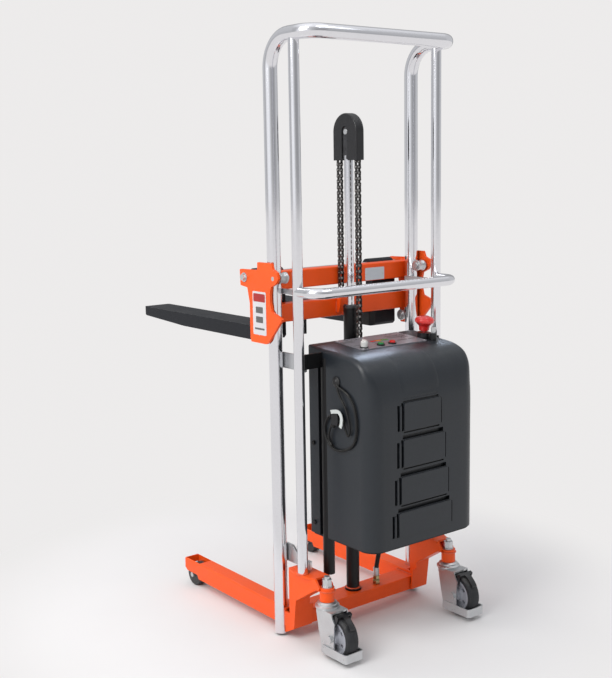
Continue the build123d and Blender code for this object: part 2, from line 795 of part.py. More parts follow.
def caster_fork(side):
    mid_x = side * STEM_X
    stem_hole_r = 8.1
    with BuildPart() as piece:
        # swivel race above the crown
        with BuildSketch(rear_view(STEM_Y)):
            with BuildLine():
                Polyline(
                    (mid_x + stem_hole_r, CROWN_Z), (mid_x + 30, CROWN_Z), (mid_x + 33, 133),
                    (mid_x + 33, 137), (mid_x + 27, 140), (mid_x + 27, 144),
                    (mid_x + 22, 147.4), (mid_x + stem_hole_r, 147.4), close=True,
                )
            make_face()
        revolve(axis=Axis(point(mid_x, STEM_Y, 0), (0, 0, 1)))
        # crown plate
        with BuildSketch(plan(CROWN_Z)):
            with BuildLine():
                Polyline(
                    (mid_x - CHEEK_X, CASTER_Y - 2), (mid_x + CHEEK_X, CASTER_Y - 2),
                    (mid_x + CHEEK_X, STEM_Y + 12), (mid_x + 16, STEM_Y + 26),
                    (mid_x - 16, STEM_Y + 26), (mid_x - CHEEK_X, STEM_Y + 12), close=True,
                )
            make_face()
            with Locations((mid_x, STEM_Y)):
                Circle(stem_hole_r, mode=Mode.SUBTRACT)
        extrude(amount=CROWN_T)
        # two cheeks
        for x in (mid_x - CHEEK_X, mid_x + CHEEK_X - CHEEK_T):
            with BuildSketch(side_view(x)):
                with BuildLine():
                    Polyline(
                        (STEM_Y + 12, CROWN_Z + CROWN_T), (STEM_Y + 12, 124), (STEM_Y + 2, 70),
                        (STEM_Y - 6, 38), (STEM_Y - 6, 14), (CASTER_Y - 12, 14),
                        (CASTER_Y - 12, 60), (CASTER_Y - 14, 96), (CASTER_Y - 16, 108),
                        (CASTER_Y - 8, 118), (CASTER_Y - 2, CROWN_Z + CROWN_T), close=True,
                    )
                make_face()
            extrude(amount=CHEEK_T)
        # toe guard round the back of the wheel, open in front
        with BuildSketch(plan(14)):
            with Locations((mid_x, -222)):
                RectangleRounded(63, 136, 8)
                RectangleRounded(57, 130, 5, mode=Mode.SUBTRACT)
            with Locations((mid_x, -165)):
                Rectangle(70, 62, mode=Mode.SUBTRACT)
        extrude(amount=24)
        # axle bolt held in the cheeks, with a hex at each end
        with BuildSketch(side_view(mid_x - 34)):
            with Locations((CASTER_Y, CASTER_R)):
                Circle(6.0)
        extrude(amount=68)
        for x, length in ((mid_x - 35, 6.5), (mid_x + CHEEK_X, 7)):
            with BuildSketch(side_view(x)):
                with Locations((CASTER_Y, CASTER_R)):
                    RegularPolygon(9.5, 6)
            extrude(amount=length)
        # brake pivot pins
        for x in (mid_x - CHEEK_X, mid_x + 20.0):
            with BuildSketch(side_view(x)):
                with Locations(BRAKE_PIN):
                    Circle(BRAKE_PIN_R)
            extrude(amount=8.5)
    return piece.part


def caster_tyre(side):
    mid_x = side * STEM_X
    with BuildPart() as piece:
        with BuildSketch(rear_view(CASTER_Y)):
            with BuildLine():
                Polyline(*wheel_profile(TYRE_HALF, mid_x), close=True)
            make_face()
        revolve(axis=Axis(point(mid_x, CASTER_Y, CASTER_R), (1, 0, 0)))
    return piece.part


def caster_hub(side):
    mid_x = side * STEM_X
    with BuildPart() as piece:
        with BuildSketch(rear_view(CASTER_Y)):
            with BuildLine():
                Polyline(*wheel_profile(HUB_HALF, mid_x), close=True)
            make_face()
        revolve(axis=Axis(point(mid_x, CASTER_Y, CASTER_R), (1, 0, 0)))
        # five holes through the web
        with BuildSketch(side_view(mid_x - 30)):
            with Locations((CASTER_Y, CASTER_R)):
                with PolarLocations(29, 5):
                    Circle(5.0)
        extrude(amount=60, mode=Mode.SUBTRACT)
    return piece.part


def caster_brake(side):
    "pedal: two arms inside the cheeks, a bridge and a narrow strip behind the tyre"
    mid_x = side * STEM_X
    arm_x, arm = 24.4, 3.8         # arm's outer face from the middle, thickness
    strip_width = 18
    with BuildPart() as piece:
        for x in (mid_x - arm_x, mid_x + arm_x - arm):
            with BuildSketch(side_view(x)):
                with BuildLine():
                    Polyline(
                        (CASTER_Y - 3, 106), (CASTER_Y - 7, 97), (CASTER_Y - 15, 97),
                        (CASTER_Y - 25, 122.5), (CASTER_Y - 26, 127), (CASTER_Y - 18, 131),
                        close=True,
                    )
                make_face()
                with Locations(BRAKE_PIN):
                    Circle(BRAKE_PIN_R + 0.08, mode=Mode.SUBTRACT)
            extrude(amount=arm)
        # bridge between the arms
        with BuildSketch(side_view(mid_x - arm_x)):
            with BuildLine():
                Polyline(
                    (CASTER_Y - 18, 131), (CASTER_Y - 26, 127), (CASTER_Y - 25, 123.5),
                    (CASTER_Y - 17.5, 127), close=True,
                )
            make_face()
        extrude(amount=2 * arm_x)
        # strip curving down behind the tyre
        with BuildSketch(side_view(mid_x - strip_width / 2)):
            with BuildLine():
                Polyline(
                    (CASTER_Y - 22, 129), (CASTER_Y - 37, 123), (CASTER_Y - 49, 112),
                    (CASTER_Y - 57, 102), (CASTER_Y - 57, 97), (CASTER_Y - 55.3, 97),
                    (CASTER_Y - 54.5, 101), (CASTER_Y - 47, 110), (CASTER_Y - 35, 120),
                    (CASTER_Y - 22, 125.5), close=True,
                )
            make_face()
        extrude(amount=strip_width)
    return piece.part


# ------------------------------------------------------------ box of services
COVER_WALL = 4
CORNER_R = 45              # rear corners in plan
CURVE_FOOT_Z = 640         # where the rear curve meets the flat back
UNDER_Z = BOX_Z0 - 1       # cuts from below start here

# rear curve between the top and the back (y, z), outside and inside
OUTER_CURVE = (
    (CURVE_Y, BOX_TOP_R), (-240, 801), (-274, 782), (-297, 742), (-307, 690),
    (BOX_BACK, CURVE_FOOT_Z),
)
INNER_CURVE = (
    (CURVE_Y, BOX_TOP_R - COVER_WALL), (-238, 797), (-271, 778), (-293, 740), (-303, 690),
    (BOX_BACK + COVER_WALL, CURVE_FOOT_Z),
)
CURVE_TANGENTS = ((-1, -SLOPE), (0, -1))

# raised pads on the rear face (z0, z1, x0, x1), stepping wider towards the foot
PADS = ((609, 683, -70, 64), (511, 585, -72, 80), (412, 486, -80, 92), (324, 390, -89, 105))


def rear_cover():
    back_corner = BOX_BACK + CORNER_R
    cavity_inset = 43          # side of the middle cavity from the side of the box
    pocket_width = 40          # side pockets, overlapping the middle cavity
    with BuildPart() as piece:
        with BuildSketch(side_view(BOX_XL)):
            with BuildLine():
                Polyline(
                    (BOX_BACK, CURVE_FOOT_Z), (BOX_BACK, BOX_Z0), (BOX_FRONT, BOX_Z0),
                    (BOX_FRONT, BOX_TOP_F), (CURVE_Y, BOX_TOP_R),
                )
                Spline(*OUTER_CURVE, tangents=CURVE_TANGENTS)
            make_face()
        extrude(amount=BOX_XR - BOX_XL)
        # plan outline with rounded rear corners
        with BuildSketch(plan(BOX_Z0 - 10)):
            with BuildLine():
                Polyline(
                    (BOX_XL, back_corner), (BOX_XL, -50), (BOX_XR, -50), (BOX_XR, back_corner)
                )
                RadiusArc((BOX_XR, back_corner), (BOX_XR - CORNER_R, BOX_BACK), CORNER_R)
                Line((BOX_XR - CORNER_R, BOX_BACK), (BOX_XL + CORNER_R, BOX_BACK))
                RadiusArc((BOX_XL + CORNER_R, BOX_BACK), (BOX_XL, back_corner), CORNER_R)
            make_face()
        extrude(amount=560, mode=Mode.INTERSECT)
        # side channels that the two posts run in
        for side, post_x in ((-1, POST_XL), (1, POST_XR)):
            with BuildSketch(plan(UNDER_Z)):
                with Locations((post_x, POST_Y)):
                    Circle(POST_R + 1)
                with Locations((post_x + side * 12, POST_Y)):
                    Rectangle(24, 2 * POST_R + 2)
            extrude(amount=494, mode=Mode.SUBTRACT)
        # hollow inside, open to the floor below
        with BuildSketch(side_view(BOX_XL + cavity_inset)):
            with BuildLine():
                Polyline(
                    (BOX_BACK + COVER_WALL, CURVE_FOOT_Z), (BOX_BACK + COVER_WALL, UNDER_Z),
                    (BOX_FRONT + 1, UNDER_Z), (BOX_FRONT + 1, BOX_TOP_F - COVER_WALL),
                    (CURVE_Y, BOX_TOP_R - COVER_WALL),
                )
                Spline(*INNER_CURVE, tangents=CURVE_TANGENTS)
            make_face()
        extrude(amount=BOX_XR - BOX_XL - 2 * cavity_inset, mode=Mode.SUBTRACT)
        # pockets behind and in front of each channel
        for x in (BOX_XL + COVER_WALL, BOX_XR - COVER_WALL - pocket_width):
            with BuildSketch(side_view(x)):
                with BuildLine():
                    Polyline(
                        (-134, UNDER_Z), (-266, UNDER_Z), (-266, 765), (-240, 788), (-200, 800),
                        (-134, 805), close=True,
                    )
                make_face()
            extrude(amount=pocket_width, mode=Mode.SUBTRACT)
            with BuildSketch(plan(UNDER_Z)):
                with Locations((x + pocket_width / 2, -72.5)):
                    Rectangle(pocket_width, 35)
            extrude(amount=516, mode=Mode.SUBTRACT)
        # notch in the top's front edge for the fixed fall of the chain
        with BuildSketch(plan(800)):
            with Locations((0, -57)):
                Rectangle(28, 16)
        extrude(amount=40, mode=Mode.SUBTRACT)
        for z0, z1, x0, x1 in PADS:
            with BuildSketch(rear_view(BOX_BACK + 1)):
                with Locations(((x0 + x1) / 2, (z0 + z1) / 2)):
                    RectangleRounded(x1 - x0, z1 - z0, 6)
            extrude(amount=4)
    return piece.part


def box_frame():
    "steel back plate, floor and the two posts, one weldment"
    plate_top, post_top = 812, 790
    floor_width = 377
    with BuildPart() as piece:
        with BuildSketch(rear_view(-64)):
            with Locations((BOX_MID_X, (FLOOR_Z + plate_top) / 2)):
                Rectangle(378, plate_top - FLOOR_Z)
        extrude(amount=4)
        with BuildSketch(plan(FLOOR_Z)):
            with Locations((BOX_MID_X, -184)):
                RectangleRounded(floor_width, 240, 40)
            with Locations((BOX_MID_X, -100)):
                Rectangle(floor_width, 72)
        extrude(amount=FLOOR_T)
        # the left post hangs lower, the right one stops above its foot bracket
        for post_x, z0 in ((POST_XL, 190.0), (POST_XR, 214.0)):
            with BuildSketch(plan(z0)):
                with Locations((post_x, POST_Y)):
                    Circle(POST_R)
            extrude(amount=post_top - z0)
            with BuildSketch(plan(z0 - 1)):
                with Locations((post_x, POST_Y)):
                    Circle(POST_R - 2.5)
            extrude(amount=post_top - 2 - z0, mode=Mode.SUBTRACT)
        # passage for the hydraulic hose
        with BuildSketch(plan(280)):
            with Locations((95, -95)):
                Circle(9)
        extrude(amount=30, mode=Mode.SUBTRACT)
    return piece.part


def battery():
    width, depth = 260, 168
    case_z = FLOOR_Z + FLOOR_T
    lid_z = case_z + 190
    top_z = lid_z + 14
    with BuildPart() as piece:
        with BuildSketch(plan(case_z)):
            with Locations((0, -210)):
                RectangleRounded(width, depth, 5)
        extrude(amount=lid_z - case_z)
        with BuildSketch(plan(lid_z)):
            with Locations((0, -210)):
                RectangleRounded(width - 4, depth - 4, 5)
        extrude(amount=top_z - lid_z)
        # terminals
        with BuildSketch(plan(top_z)):
            with Locations((-100, -160), (100, -160)):
                Circle(9)
        extrude(amount=14)
    return piece.part


def power_pack():
    "hydraulic tank, valve block and pump motor in one unit"
    block_x, block_z = 22, 585
    with BuildPart() as piece:
        # tank
        with BuildSketch(plan(560)):
            with Locations((-72, -153)):
                RectangleRounded(120, 168, 10)
        extrude(amount=130)
        # valve block
        with BuildSketch(plan(block_z)):
            with Locations((block_x, -150)):
                Rectangle(70, 80)
        extrude(amount=75)
        # motor
        with BuildSketch(side_view(56)):
            with Locations((-160, 622)):
                Circle(40)
        extrude(amount=78)
        # plate in front of the block
        with BuildSketch(plan(block_z)):
            with Locations((block_x, -98)):
                Rectangle(50, 59.8)
        extrude(amount=12)
    return piece.part


def battery_charger():
    case_z, foot = 700, 10
    with BuildPart() as piece:
        with BuildSketch(plan(case_z)):
            with Locations((-60, -143)):
                RectangleRounded(130, 150, 6)
        extrude(amount=46)
        with BuildSketch(plan(case_z - foot)):
            with Locations((-110, -110), (-30, -110), (-110, -180), (-30, -180)):
                Circle(5)
        extrude(amount=foot)
    return piece.part


# ------------------------------------------------------------ operator panel
NORMAL_Y = -SLOPE / sqrt(1 + SLOPE ** 2)
NORMAL_Z = 1 / sqrt(1 + SLOPE ** 2)
PANEL_T = 2.5

# places on the sloping top (x, y)
ESTOP = (155.0, -150.0)
KEY = (158.0, -184.0)
KNOB = (-80.0, -166.0)
RAISE = (-22.0, -168.0)
LOWER = (20.0, -168.0)


def on_top(x, y, height=0.0):
    "plane tilted with the sloping top of the cover, at a height above it"
    z = BOX_TOP_F + SLOPE * (y - BOX_FRONT)
    return Plane(
        origin=point(x, y + NORMAL_Y * height, z + NORMAL_Z * height),
        x_dir=(1, 0, 0),
        z_dir=(0, NORMAL_Y, NORMAL_Z),
    )


def control_panel():
    with BuildPart() as piece:
        with BuildSketch(on_top(17.5, -126)):
            RectangleRounded(235, 118, 3)
        extrude(amount=PANEL_T)
        # raised frame of the battery gauge
        with BuildSketch(on_top(8.0, -127, PANEL_T)):
            RectangleRounded(70, 16, 2)
        extrude(amount=1.5)
    return piece.part


def switch_bodies():
    "fixed bodies of the emergency stop, key switch, knob and two push buttons"
    with BuildPart() as piece:
        # spot, body radius, body height, hole radius, hole's start height
        for spot, radius, height, hole_r, hole_z in (
            (ESTOP, 19, 16, 6.1, 4),
            (KEY, 10, 20, 4.1, 8),
        ):
            with BuildSketch(on_top(*spot)):
                Circle(radius)
            extrude(amount=height)
            with BuildSketch(on_top(*spot, hole_z)):
                Circle(hole_r)
            extrude(amount=20, mode=Mode.SUBTRACT)
        with BuildSketch(on_top(*KNOB, PANEL_T)):
            Circle(12)
        extrude(amount=3)
        for spot in (RAISE, LOWER):
            with BuildSketch(on_top(*spot, PANEL_T)):
                Circle(11.5)
                Circle(8.1, mode=Mode.SUBTRACT)
            extrude(amount=4)
    return piece.part


def emergency_stop_button():
    "mushroom head on its stem"
    base = on_top(*ESTOP)
    with BuildPart() as piece:
        # profile (radius, height above the cover)
        with BuildSketch(Plane(origin=base.origin, x_dir=(1, 0, 0), z_dir=base.y_dir * -1)):
            with BuildLine():
                Polyline(
                    (0, 11), (6.0, 11), (6.0, 22), (14, 22), (16, 35), (27, 46), (27, 52),
                    (23, 58), (12, 62), (0, 63), close=True,
                )
            make_face()
        revolve(axis=Axis(base.origin, base.z_dir))
    return piece.part


def push_button(spot):
    with BuildPart() as piece:
        with BuildSketch(on_top(*spot, 5.7)):
            Circle(8.0)
        extrude(amount=5)
        fillet(piece.edges().filter_by(GeomType.CIRCLE).sort_by(Axis.Z)[-1], 1.2)
    return piece.part


def key_switch_key():
    with BuildPart() as piece:
        with BuildSketch(on_top(*KEY, 9)):
            Circle(4.0)
        extrude(amount=12)
        with BuildSketch(on_top(*KEY, 20.4)):
            RectangleRounded(17, 3, 1)
        extrude(amount=16)
    return piece.part


def selector_knob():
    with BuildPart() as piece:
        with BuildSketch(on_top(*KNOB, 5.6)):
            Circle(9.5)
        extrude(amount=14)
        fillet(piece.edges().filter_by(GeomType.CIRCLE).sort_by(Axis.Z)[-1], 2)
        # grip ridge
        with BuildSketch(on_top(*KNOB, 19)):
            RectangleRounded(5, 17, 1)
        extrude(amount=5)
    return piece.part


# ------------------------------------------------------------ hose and cable
def hydraulic_hose():
    hose_z = 108
    with BuildPart() as piece:
        # union: spigot, hex and ferrule
        with BuildSketch(plan(64)):
            with Locations((HOSE_X, HOSE_Y)):
                Circle(6.9)
        extrude(amount=10)
        with BuildSketch(plan(72)):
            with Locations((HOSE_X, HOSE_Y)):
                RegularPolygon(10, 6)
        extrude(amount=14)
        with BuildSketch(plan(86)):
            with Locations((HOSE_X, HOSE_Y)):
                Circle(8.2)
        extrude(amount=24)
        start = point(HOSE_X, HOSE_Y, hose_z)
        with BuildLine() as path:
            Spline(
                start, point(80, -46, 190), point(93, -92, 268), point(95, -95, 300),
                tangents=[(0, 0, 1), (0, 0, 1)],
            )
        with BuildSketch(Plane(origin=start, x_dir=(1, 0, 0), z_dir=(0, 0, 1))):
            Circle(6.5)
        sweep(path=path.line)
    return piece.part


# centre line of the charging cable (y, z), in a plane beside the cover
CABLE_X = -187.0
CABLE_LOOP = (
    (-176, 738), (-206, 722), (-248, 690), (-264, 635), (-250, 582),
    (-206, 555), (-158, 556), (-137, 588), (-146, 622), (-166, 634),
)


def charger_cable():
    "charging cable looped on the cover's left side, its plug parked on the cover"
    loop = [point(CABLE_X, y, z) for y, z in CABLE_LOOP]
    with BuildPart() as piece:
        with BuildLine() as path:
            Spline(*loop, tangents=[(0, -1, -0.4), (0, -0.7, 1)])
        with BuildSketch(Plane(origin=loop[0], x_dir=(1, 0, 0), z_dir=(0, -1, -0.4))):
            Circle(3.6)
        sweep(path=path.line)
        # round outlet at the upper end
        with BuildSketch(side_view(-191)):
            with Locations((-174, 740)):
                Circle(9)
        extrude(amount=9)
        # plug
        with BuildSketch(side_view(-204)):
            with Locations((-175, 640)):
                RectangleRounded(22, 30, 5)
        extrude(amount=22)
    return piece.part


# ----------------------------------------------------------------- fasteners
def cover_bolts():
    head = 4
    with BuildPart() as piece:
        for x in (BOX_XL - head, BOX_XR):
            with BuildSketch(side_view(x)):
                with Locations((-73, 777), (-73, 553), (-73, 329)):
                    RegularPolygon(6.5, 6)
            extrude(amount=head)
    return piece.part


def frame_bolts():
    head = 6
    with BuildPart() as piece:
        for side in (-1, 1):
            # load roller axles through the leg tips
            with BuildSketch(side_view(side * LEG_X - LEG_W / 2)):
                with Locations((ROLLER_Y, ROLLER_R)):
                    Circle(ROLLER_AXLE_R)
            extrude(amount=LEG_W)
            # bolts of the lower tie plates
            with BuildSketch(side_view(low_x(side, TIE_X0 - head, TIE_X0))):
                with Locations((-14, 226), (-52, 224)):
                    RegularPolygon(7.5, 6)
            extrude(amount=head)
    return piece.part


# -------------------------------------------------------------------- export
# each function's name is the name of its piece
for build in (
    mast_front_tube, mast_rear_tubes, handle_bar, mast_tie_plates, box_brackets,
    base_crossmember, cylinder_barrel, cylinder_gland, piston_rod, piston,
    chain_wheel_yoke, chain_wheel, chain_wheel_axle, chain_wheel_cover, chain_wrap,
    chain_anchor_fixed, carriage_crossbars, chain_anchor_carriage, carriage_bumpers,
    fork_shaft, carriage_fasteners, caster_stems, rear_cover, box_frame, battery,
    power_pack, battery_charger, control_panel, switch_bodies, emergency_stop_button,
    key_switch_key, selector_knob, hydraulic_hose, charger_cable, cover_bolts, frame_bolts,
):
    save(build.__name__, build())

for build in (
    leg, load_roller, caster_bracket, carriage_side_plate, fork,
    caster_fork, caster_tyre, caster_hub, caster_brake,
):
    for side, tag in SIDES:
        save(f"{build.__name__}_{tag}", build(side))

save("chain_front_fall", chain_fall(RAM_Y + PCD_R, FRONT_FALL_Z0))
save("chain_rear_fall", chain_fall(RAM_Y - PCD_R, 716.0))
save("guide_rollers_upper", guide_rollers(*GUIDE_AXLES[0]))
save("guide_rollers_lower", guide_rollers(*GUIDE_AXLES[1]))
save("push_button_raise", push_button(RAISE))
save("push_button_lower", push_button(LOWER))
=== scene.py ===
"""Lift stacker: chain-lifted carriage with forks, base frame and moulded rear cover.

Z is up and X runs across the machine, with left at -X. The moulded cover forms the back,
towards -Y. The CAD pieces get finishes and softened edges. The cover, chain, hose, cable,
labels, panel details and weld beads are built here.
Places, and sizes in the mesh helpers, are in millimetres with Y counted from the mast plane.
Modifier, bevel and shader distances, lights and camera are in metres.
"""
import bpy
import bmesh
import json
import math
from mathutils import Vector, Matrix

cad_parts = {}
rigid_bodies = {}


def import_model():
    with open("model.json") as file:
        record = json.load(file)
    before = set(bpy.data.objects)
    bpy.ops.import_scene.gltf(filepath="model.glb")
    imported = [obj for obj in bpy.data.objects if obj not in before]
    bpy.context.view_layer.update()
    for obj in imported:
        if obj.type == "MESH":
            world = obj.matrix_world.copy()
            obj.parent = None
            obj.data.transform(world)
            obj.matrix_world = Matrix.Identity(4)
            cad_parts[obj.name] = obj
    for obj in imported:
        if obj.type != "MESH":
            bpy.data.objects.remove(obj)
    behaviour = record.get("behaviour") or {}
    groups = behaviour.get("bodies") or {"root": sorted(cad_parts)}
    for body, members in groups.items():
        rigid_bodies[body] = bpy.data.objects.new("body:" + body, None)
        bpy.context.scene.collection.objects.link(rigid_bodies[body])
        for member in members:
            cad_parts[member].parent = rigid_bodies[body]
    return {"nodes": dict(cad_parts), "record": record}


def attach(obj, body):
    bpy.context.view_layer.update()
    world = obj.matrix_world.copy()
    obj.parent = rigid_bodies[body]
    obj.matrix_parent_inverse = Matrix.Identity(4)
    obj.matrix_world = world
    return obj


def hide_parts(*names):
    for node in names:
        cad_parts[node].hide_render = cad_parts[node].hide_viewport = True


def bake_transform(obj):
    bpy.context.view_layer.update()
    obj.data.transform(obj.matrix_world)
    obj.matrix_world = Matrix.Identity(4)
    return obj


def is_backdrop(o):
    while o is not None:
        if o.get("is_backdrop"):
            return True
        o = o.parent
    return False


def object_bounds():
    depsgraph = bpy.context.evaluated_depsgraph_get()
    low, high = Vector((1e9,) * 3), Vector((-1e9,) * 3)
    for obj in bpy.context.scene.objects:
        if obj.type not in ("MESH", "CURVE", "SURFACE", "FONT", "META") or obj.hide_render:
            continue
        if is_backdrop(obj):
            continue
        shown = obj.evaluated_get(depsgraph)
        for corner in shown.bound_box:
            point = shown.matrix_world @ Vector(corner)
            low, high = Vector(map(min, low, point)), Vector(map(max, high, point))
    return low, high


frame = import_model()
CAD_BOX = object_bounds()
NODES = frame["nodes"]
SLOT = {part["node"]: part["material_slot"] for part in frame["record"]["subparts"]}
SCENE = bpy.context.scene
MAST_Y = -0.199     # mast plane, metres


# ---------------------------------------------------------------- node helpers
class Net:
    """Short hand for building a node tree."""

    def __init__(self, tree):
        self.tree = tree
        tree.nodes.clear()

    def node(self, kind, inputs=None, **settings):
        node = self.tree.nodes.new(kind)
        for key, value in settings.items():
            setattr(node, key, value)
        for key, value in (inputs or {}).items():
            self.feed(node.inputs[key], value)
        return node

    def feed(self, socket, value):
        """Link the socket if the value is another socket, else set it."""
        if isinstance(value, bpy.types.NodeSocket):
            self.tree.links.new(value, socket)
        else:
            socket.default_value = value

    def math(self, operation, a, b=0.0, c=0.0, clamp=False):
        inputs = {0: a, 1: b}
        if operation == "MULTIPLY_ADD":
            inputs[2] = c
        return self.node("ShaderNodeMath", inputs, operation=operation, use_clamp=clamp).outputs[0]

    def ramp(self, value, span, to=(0.0, 1.0)):
        """Smooth step: the span of the value is mapped onto the range `to`."""
        inputs = {"Value": value, "From Min": span[0], "From Max": span[1],
                  "To Min": to[0], "To Max": to[1]}
        return self.node("ShaderNodeMapRange", inputs,
                         interpolation_type="SMOOTHSTEP").outputs["Result"]

    def mix(self, factor, a, b):
        return self.node("ShaderNodeMix", {0: factor, 6: a, 7: b}, data_type="RGBA").outputs[2]

    def mix_shader(self, factor, a, b):
        shaders = {0: factor, 1: a.outputs[0], 2: b.outputs[0]}
        return self.node("ShaderNodeMixShader", shaders).outputs[0]

    def noise(self, vector, scale, detail=3.0, rough=0.55, distortion=0.0):
        inputs = {"Vector": vector, "Scale": scale, "Detail": detail,
                  "Roughness": rough, "Distortion": distortion}
        return self.node("ShaderNodeTexNoise", inputs).outputs[0]

    def coords(self, scale=None):
        """Object coordinates, stretched by the scale if there is one."""
        plain_coords = self.node("ShaderNodeTexCoord").outputs["Object"]
        if scale is None:
            return plain_coords
        return self.node("ShaderNodeMapping", {"Vector": plain_coords, "Scale": scale}).outputs[0]

    def height_of(self, vector):
        return self.node("ShaderNodeSeparateXYZ", {0: vector}).outputs[2]


def rgba(colour, gain=1.0):
    return tuple(min(1, channel * gain) for channel in colour) + (1.0,)


def new_material(name):
    material = bpy.data.materials.new(name)
    material.use_nodes = True
    net = Net(material.node_tree)
    return material, net, net.node("ShaderNodeOutputMaterial")


# ------------------------------------------------------------------- finishes
MATS = {}


def add_scratches(net, base, metal, colour, rough, amount):
    """Fine scratches running along Z."""
    streaks = net.noise(net.coords((900.0, 900.0, 26.0)), scale=1.0, detail=2.0, rough=0.5,
                        distortion=0.4)
    mask = net.ramp(streaks, span=(0.66, 0.74), to=(0.0, amount))
    rough = net.math("ADD", rough, net.math("MULTIPLY", mask, 0.25), clamp=True)
    return net.mix(mask, colour, rgba(base, 1.35 if metal < 0.5 else 0.7)), rough


def add_dust(net, coords, colour, rough, amount):
    """Patchy dust on faces that look up."""
    normal = net.node("ShaderNodeNewGeometry").outputs["Normal"]
    upward = net.ramp(net.height_of(normal), span=(0.2, 0.95))
    patches = net.ramp(net.noise(coords, scale=34.0, detail=5.0, rough=0.7),
                       span=(0.42, 0.7), to=(0.0, amount))
    dust = net.math("MULTIPLY", upward, patches)
    rough_gain = net.math("MULTIPLY", dust, 0.3)
    dust_colour = (0.42, 0.40, 0.37, 1)
    return net.mix(dust, colour, dust_colour), net.math("ADD", rough, rough_gain, clamp=True)


def add_wear(net, coords, colour, rough, wear, amount, radius):
    """Chipped edges, found where the bevelled normal leaves the true one."""
    bevel = net.node("ShaderNodeBevel", {"Radius": radius}, samples=6)
    geometry = net.node("ShaderNodeNewGeometry")
    dot = net.node("ShaderNodeVectorMath", {0: bevel.outputs[0], 1: geometry.outputs["Normal"]},
                   operation="DOT_PRODUCT")
    edge = net.ramp(dot.outputs["Value"], span=(0.985, 0.90))
    chips = net.ramp(net.noise(coords, scale=75.0, detail=6.0, rough=0.75), span=(0.48, 0.60))
    worn = net.math("MULTIPLY", net.math("MULTIPLY", edge, chips), amount)
    rough_gain = net.math("MULTIPLY", worn, 0.15)
    return net.mix(worn, colour, rgba(wear)), net.math("ADD", rough, rough_gain, clamp=True)


def add_painted_crevice_shade(net, base, colour, amount, distance):
    """Painted shade: the colour is darkened in tight corners and recesses, from ambient occlusion.
    """
    occlusion = net.node("ShaderNodeAmbientOcclusion", {"Distance": distance}, samples=8)
    shade = net.ramp(occlusion.outputs["AO"], span=(0.35, 0.80), to=(amount, 0.0))
    return net.mix(shade, colour, rgba(base, 0.12))


def stack_bumps(net, bumps):
    """Chain of bump nodes from (strength, distance, height) rows."""
    normal = None
    for strength, distance, height in bumps:
        bump = net.node("ShaderNodeBump",
                        {"Strength": strength, "Distance": distance, "Height": height})
        if normal is not None:
            net.feed(bump.inputs["Normal"], normal)
        normal = bump.outputs[0]
    return normal


def surface(name, base, rough, metal=0.0, vary=0.12, vary_scale=9.0, rough_vary=0.12, spec=0.5,
            speck=0.0, scratches=0.0, dust=0.0, wear=None, wear_amount=0.0, wear_radius=0.0014,
            crevice_shade=0.0, crevice_shade_distance=0.016, coat=0.0, coat_rough=0.1, peel=0.0,
            peel_scale=350.0, grain=0.0, grain_scale=900.0, brushed=None, ridges=0.0,
            ridge_scale=60.0):
    """Finish of one base colour with optional ageing, relief and painted shade in crevices.

    vary and rough_vary spread tone and roughness, peel and grain are coarse and fine bumps,
    brushed is the noise stretch of a brushed metal and wear is the colour under chipped edges.
    """
    material, net, output = new_material(name)
    principled = net.node("ShaderNodeBsdfPrincipled")
    net.feed(output.inputs[0], principled.outputs[0])
    coords = net.coords()
    broad = net.noise(coords, scale=vary_scale, detail=4.0, rough=0.6)
    fine = net.noise(coords, scale=160.0, detail=3.0, rough=0.6)

    colour = net.mix(net.ramp(broad, span=(0.3, 0.7)), rgba(base, 1 - vary), rgba(base, 1 + vary))
    mottle = net.ramp(fine, span=(0.35, 0.75), to=(0.0, 0.5 * vary + 0.04))
    colour = net.mix(mottle, colour, rgba(base, 0.55))
    roughness = net.math("MULTIPLY_ADD", net.ramp(broad, span=(0.25, 0.75)), rough_vary,
                         rough - rough_vary / 2)
    roughness = net.math("MULTIPLY_ADD", net.ramp(fine, span=(0.3, 0.7)), rough_vary * 0.6,
                         net.math("SUBTRACT", roughness, rough_vary * 0.3), clamp=True)
    if speck:
        dots = net.noise(coords, scale=620.0, detail=2.0, rough=0.5)
        colour = net.mix(net.ramp(dots, span=(0.62, 0.72), to=(0.0, speck)), colour,
                         rgba(base, 2.2))
    if scratches:
        colour, roughness = add_scratches(net, base, metal, colour, roughness, scratches)
    if dust:
        colour, roughness = add_dust(net, coords, colour, roughness, dust)
    if wear:
        colour, roughness = add_wear(net, coords, colour, roughness, wear, wear_amount,
                                     wear_radius)
    # painted shade: darker colour in crevices and corners, from ambient occlusion
    if crevice_shade:
        colour = add_painted_crevice_shade(net, base, colour, crevice_shade, crevice_shade_distance)

    for key, value in {"Base Color": colour, "Roughness": roughness, "Metallic": metal,
                       "Specular IOR Level": spec}.items():
        net.feed(principled.inputs[key], value)
    if coat:
        principled.inputs["Coat Weight"].default_value = coat
        principled.inputs["Coat Roughness"].default_value = coat_rough

    bumps = []      # strength, distance, height
    if peel:
        bumps.append((peel, 0.0004, net.noise(coords, scale=peel_scale, detail=2.0)))
    if grain:
        bumps.append((grain, 0.0003, net.noise(coords, scale=grain_scale, detail=3.0)))
    if brushed:
        bumps.append((0.18, 0.0002, net.noise(net.coords(brushed), scale=1.0, rough=0.6)))
    if ridges:
        wave = net.node("ShaderNodeTexWave",
                        {"Vector": coords, "Scale": ridge_scale, "Distortion": 0.6},
                        wave_type="BANDS", bands_direction="X")
        bumps.append((ridges, 0.0006, wave.outputs["Fac"]))
    if bumps:
        net.feed(principled.inputs["Normal"], stack_bumps(net, bumps))
    MATS[name] = material


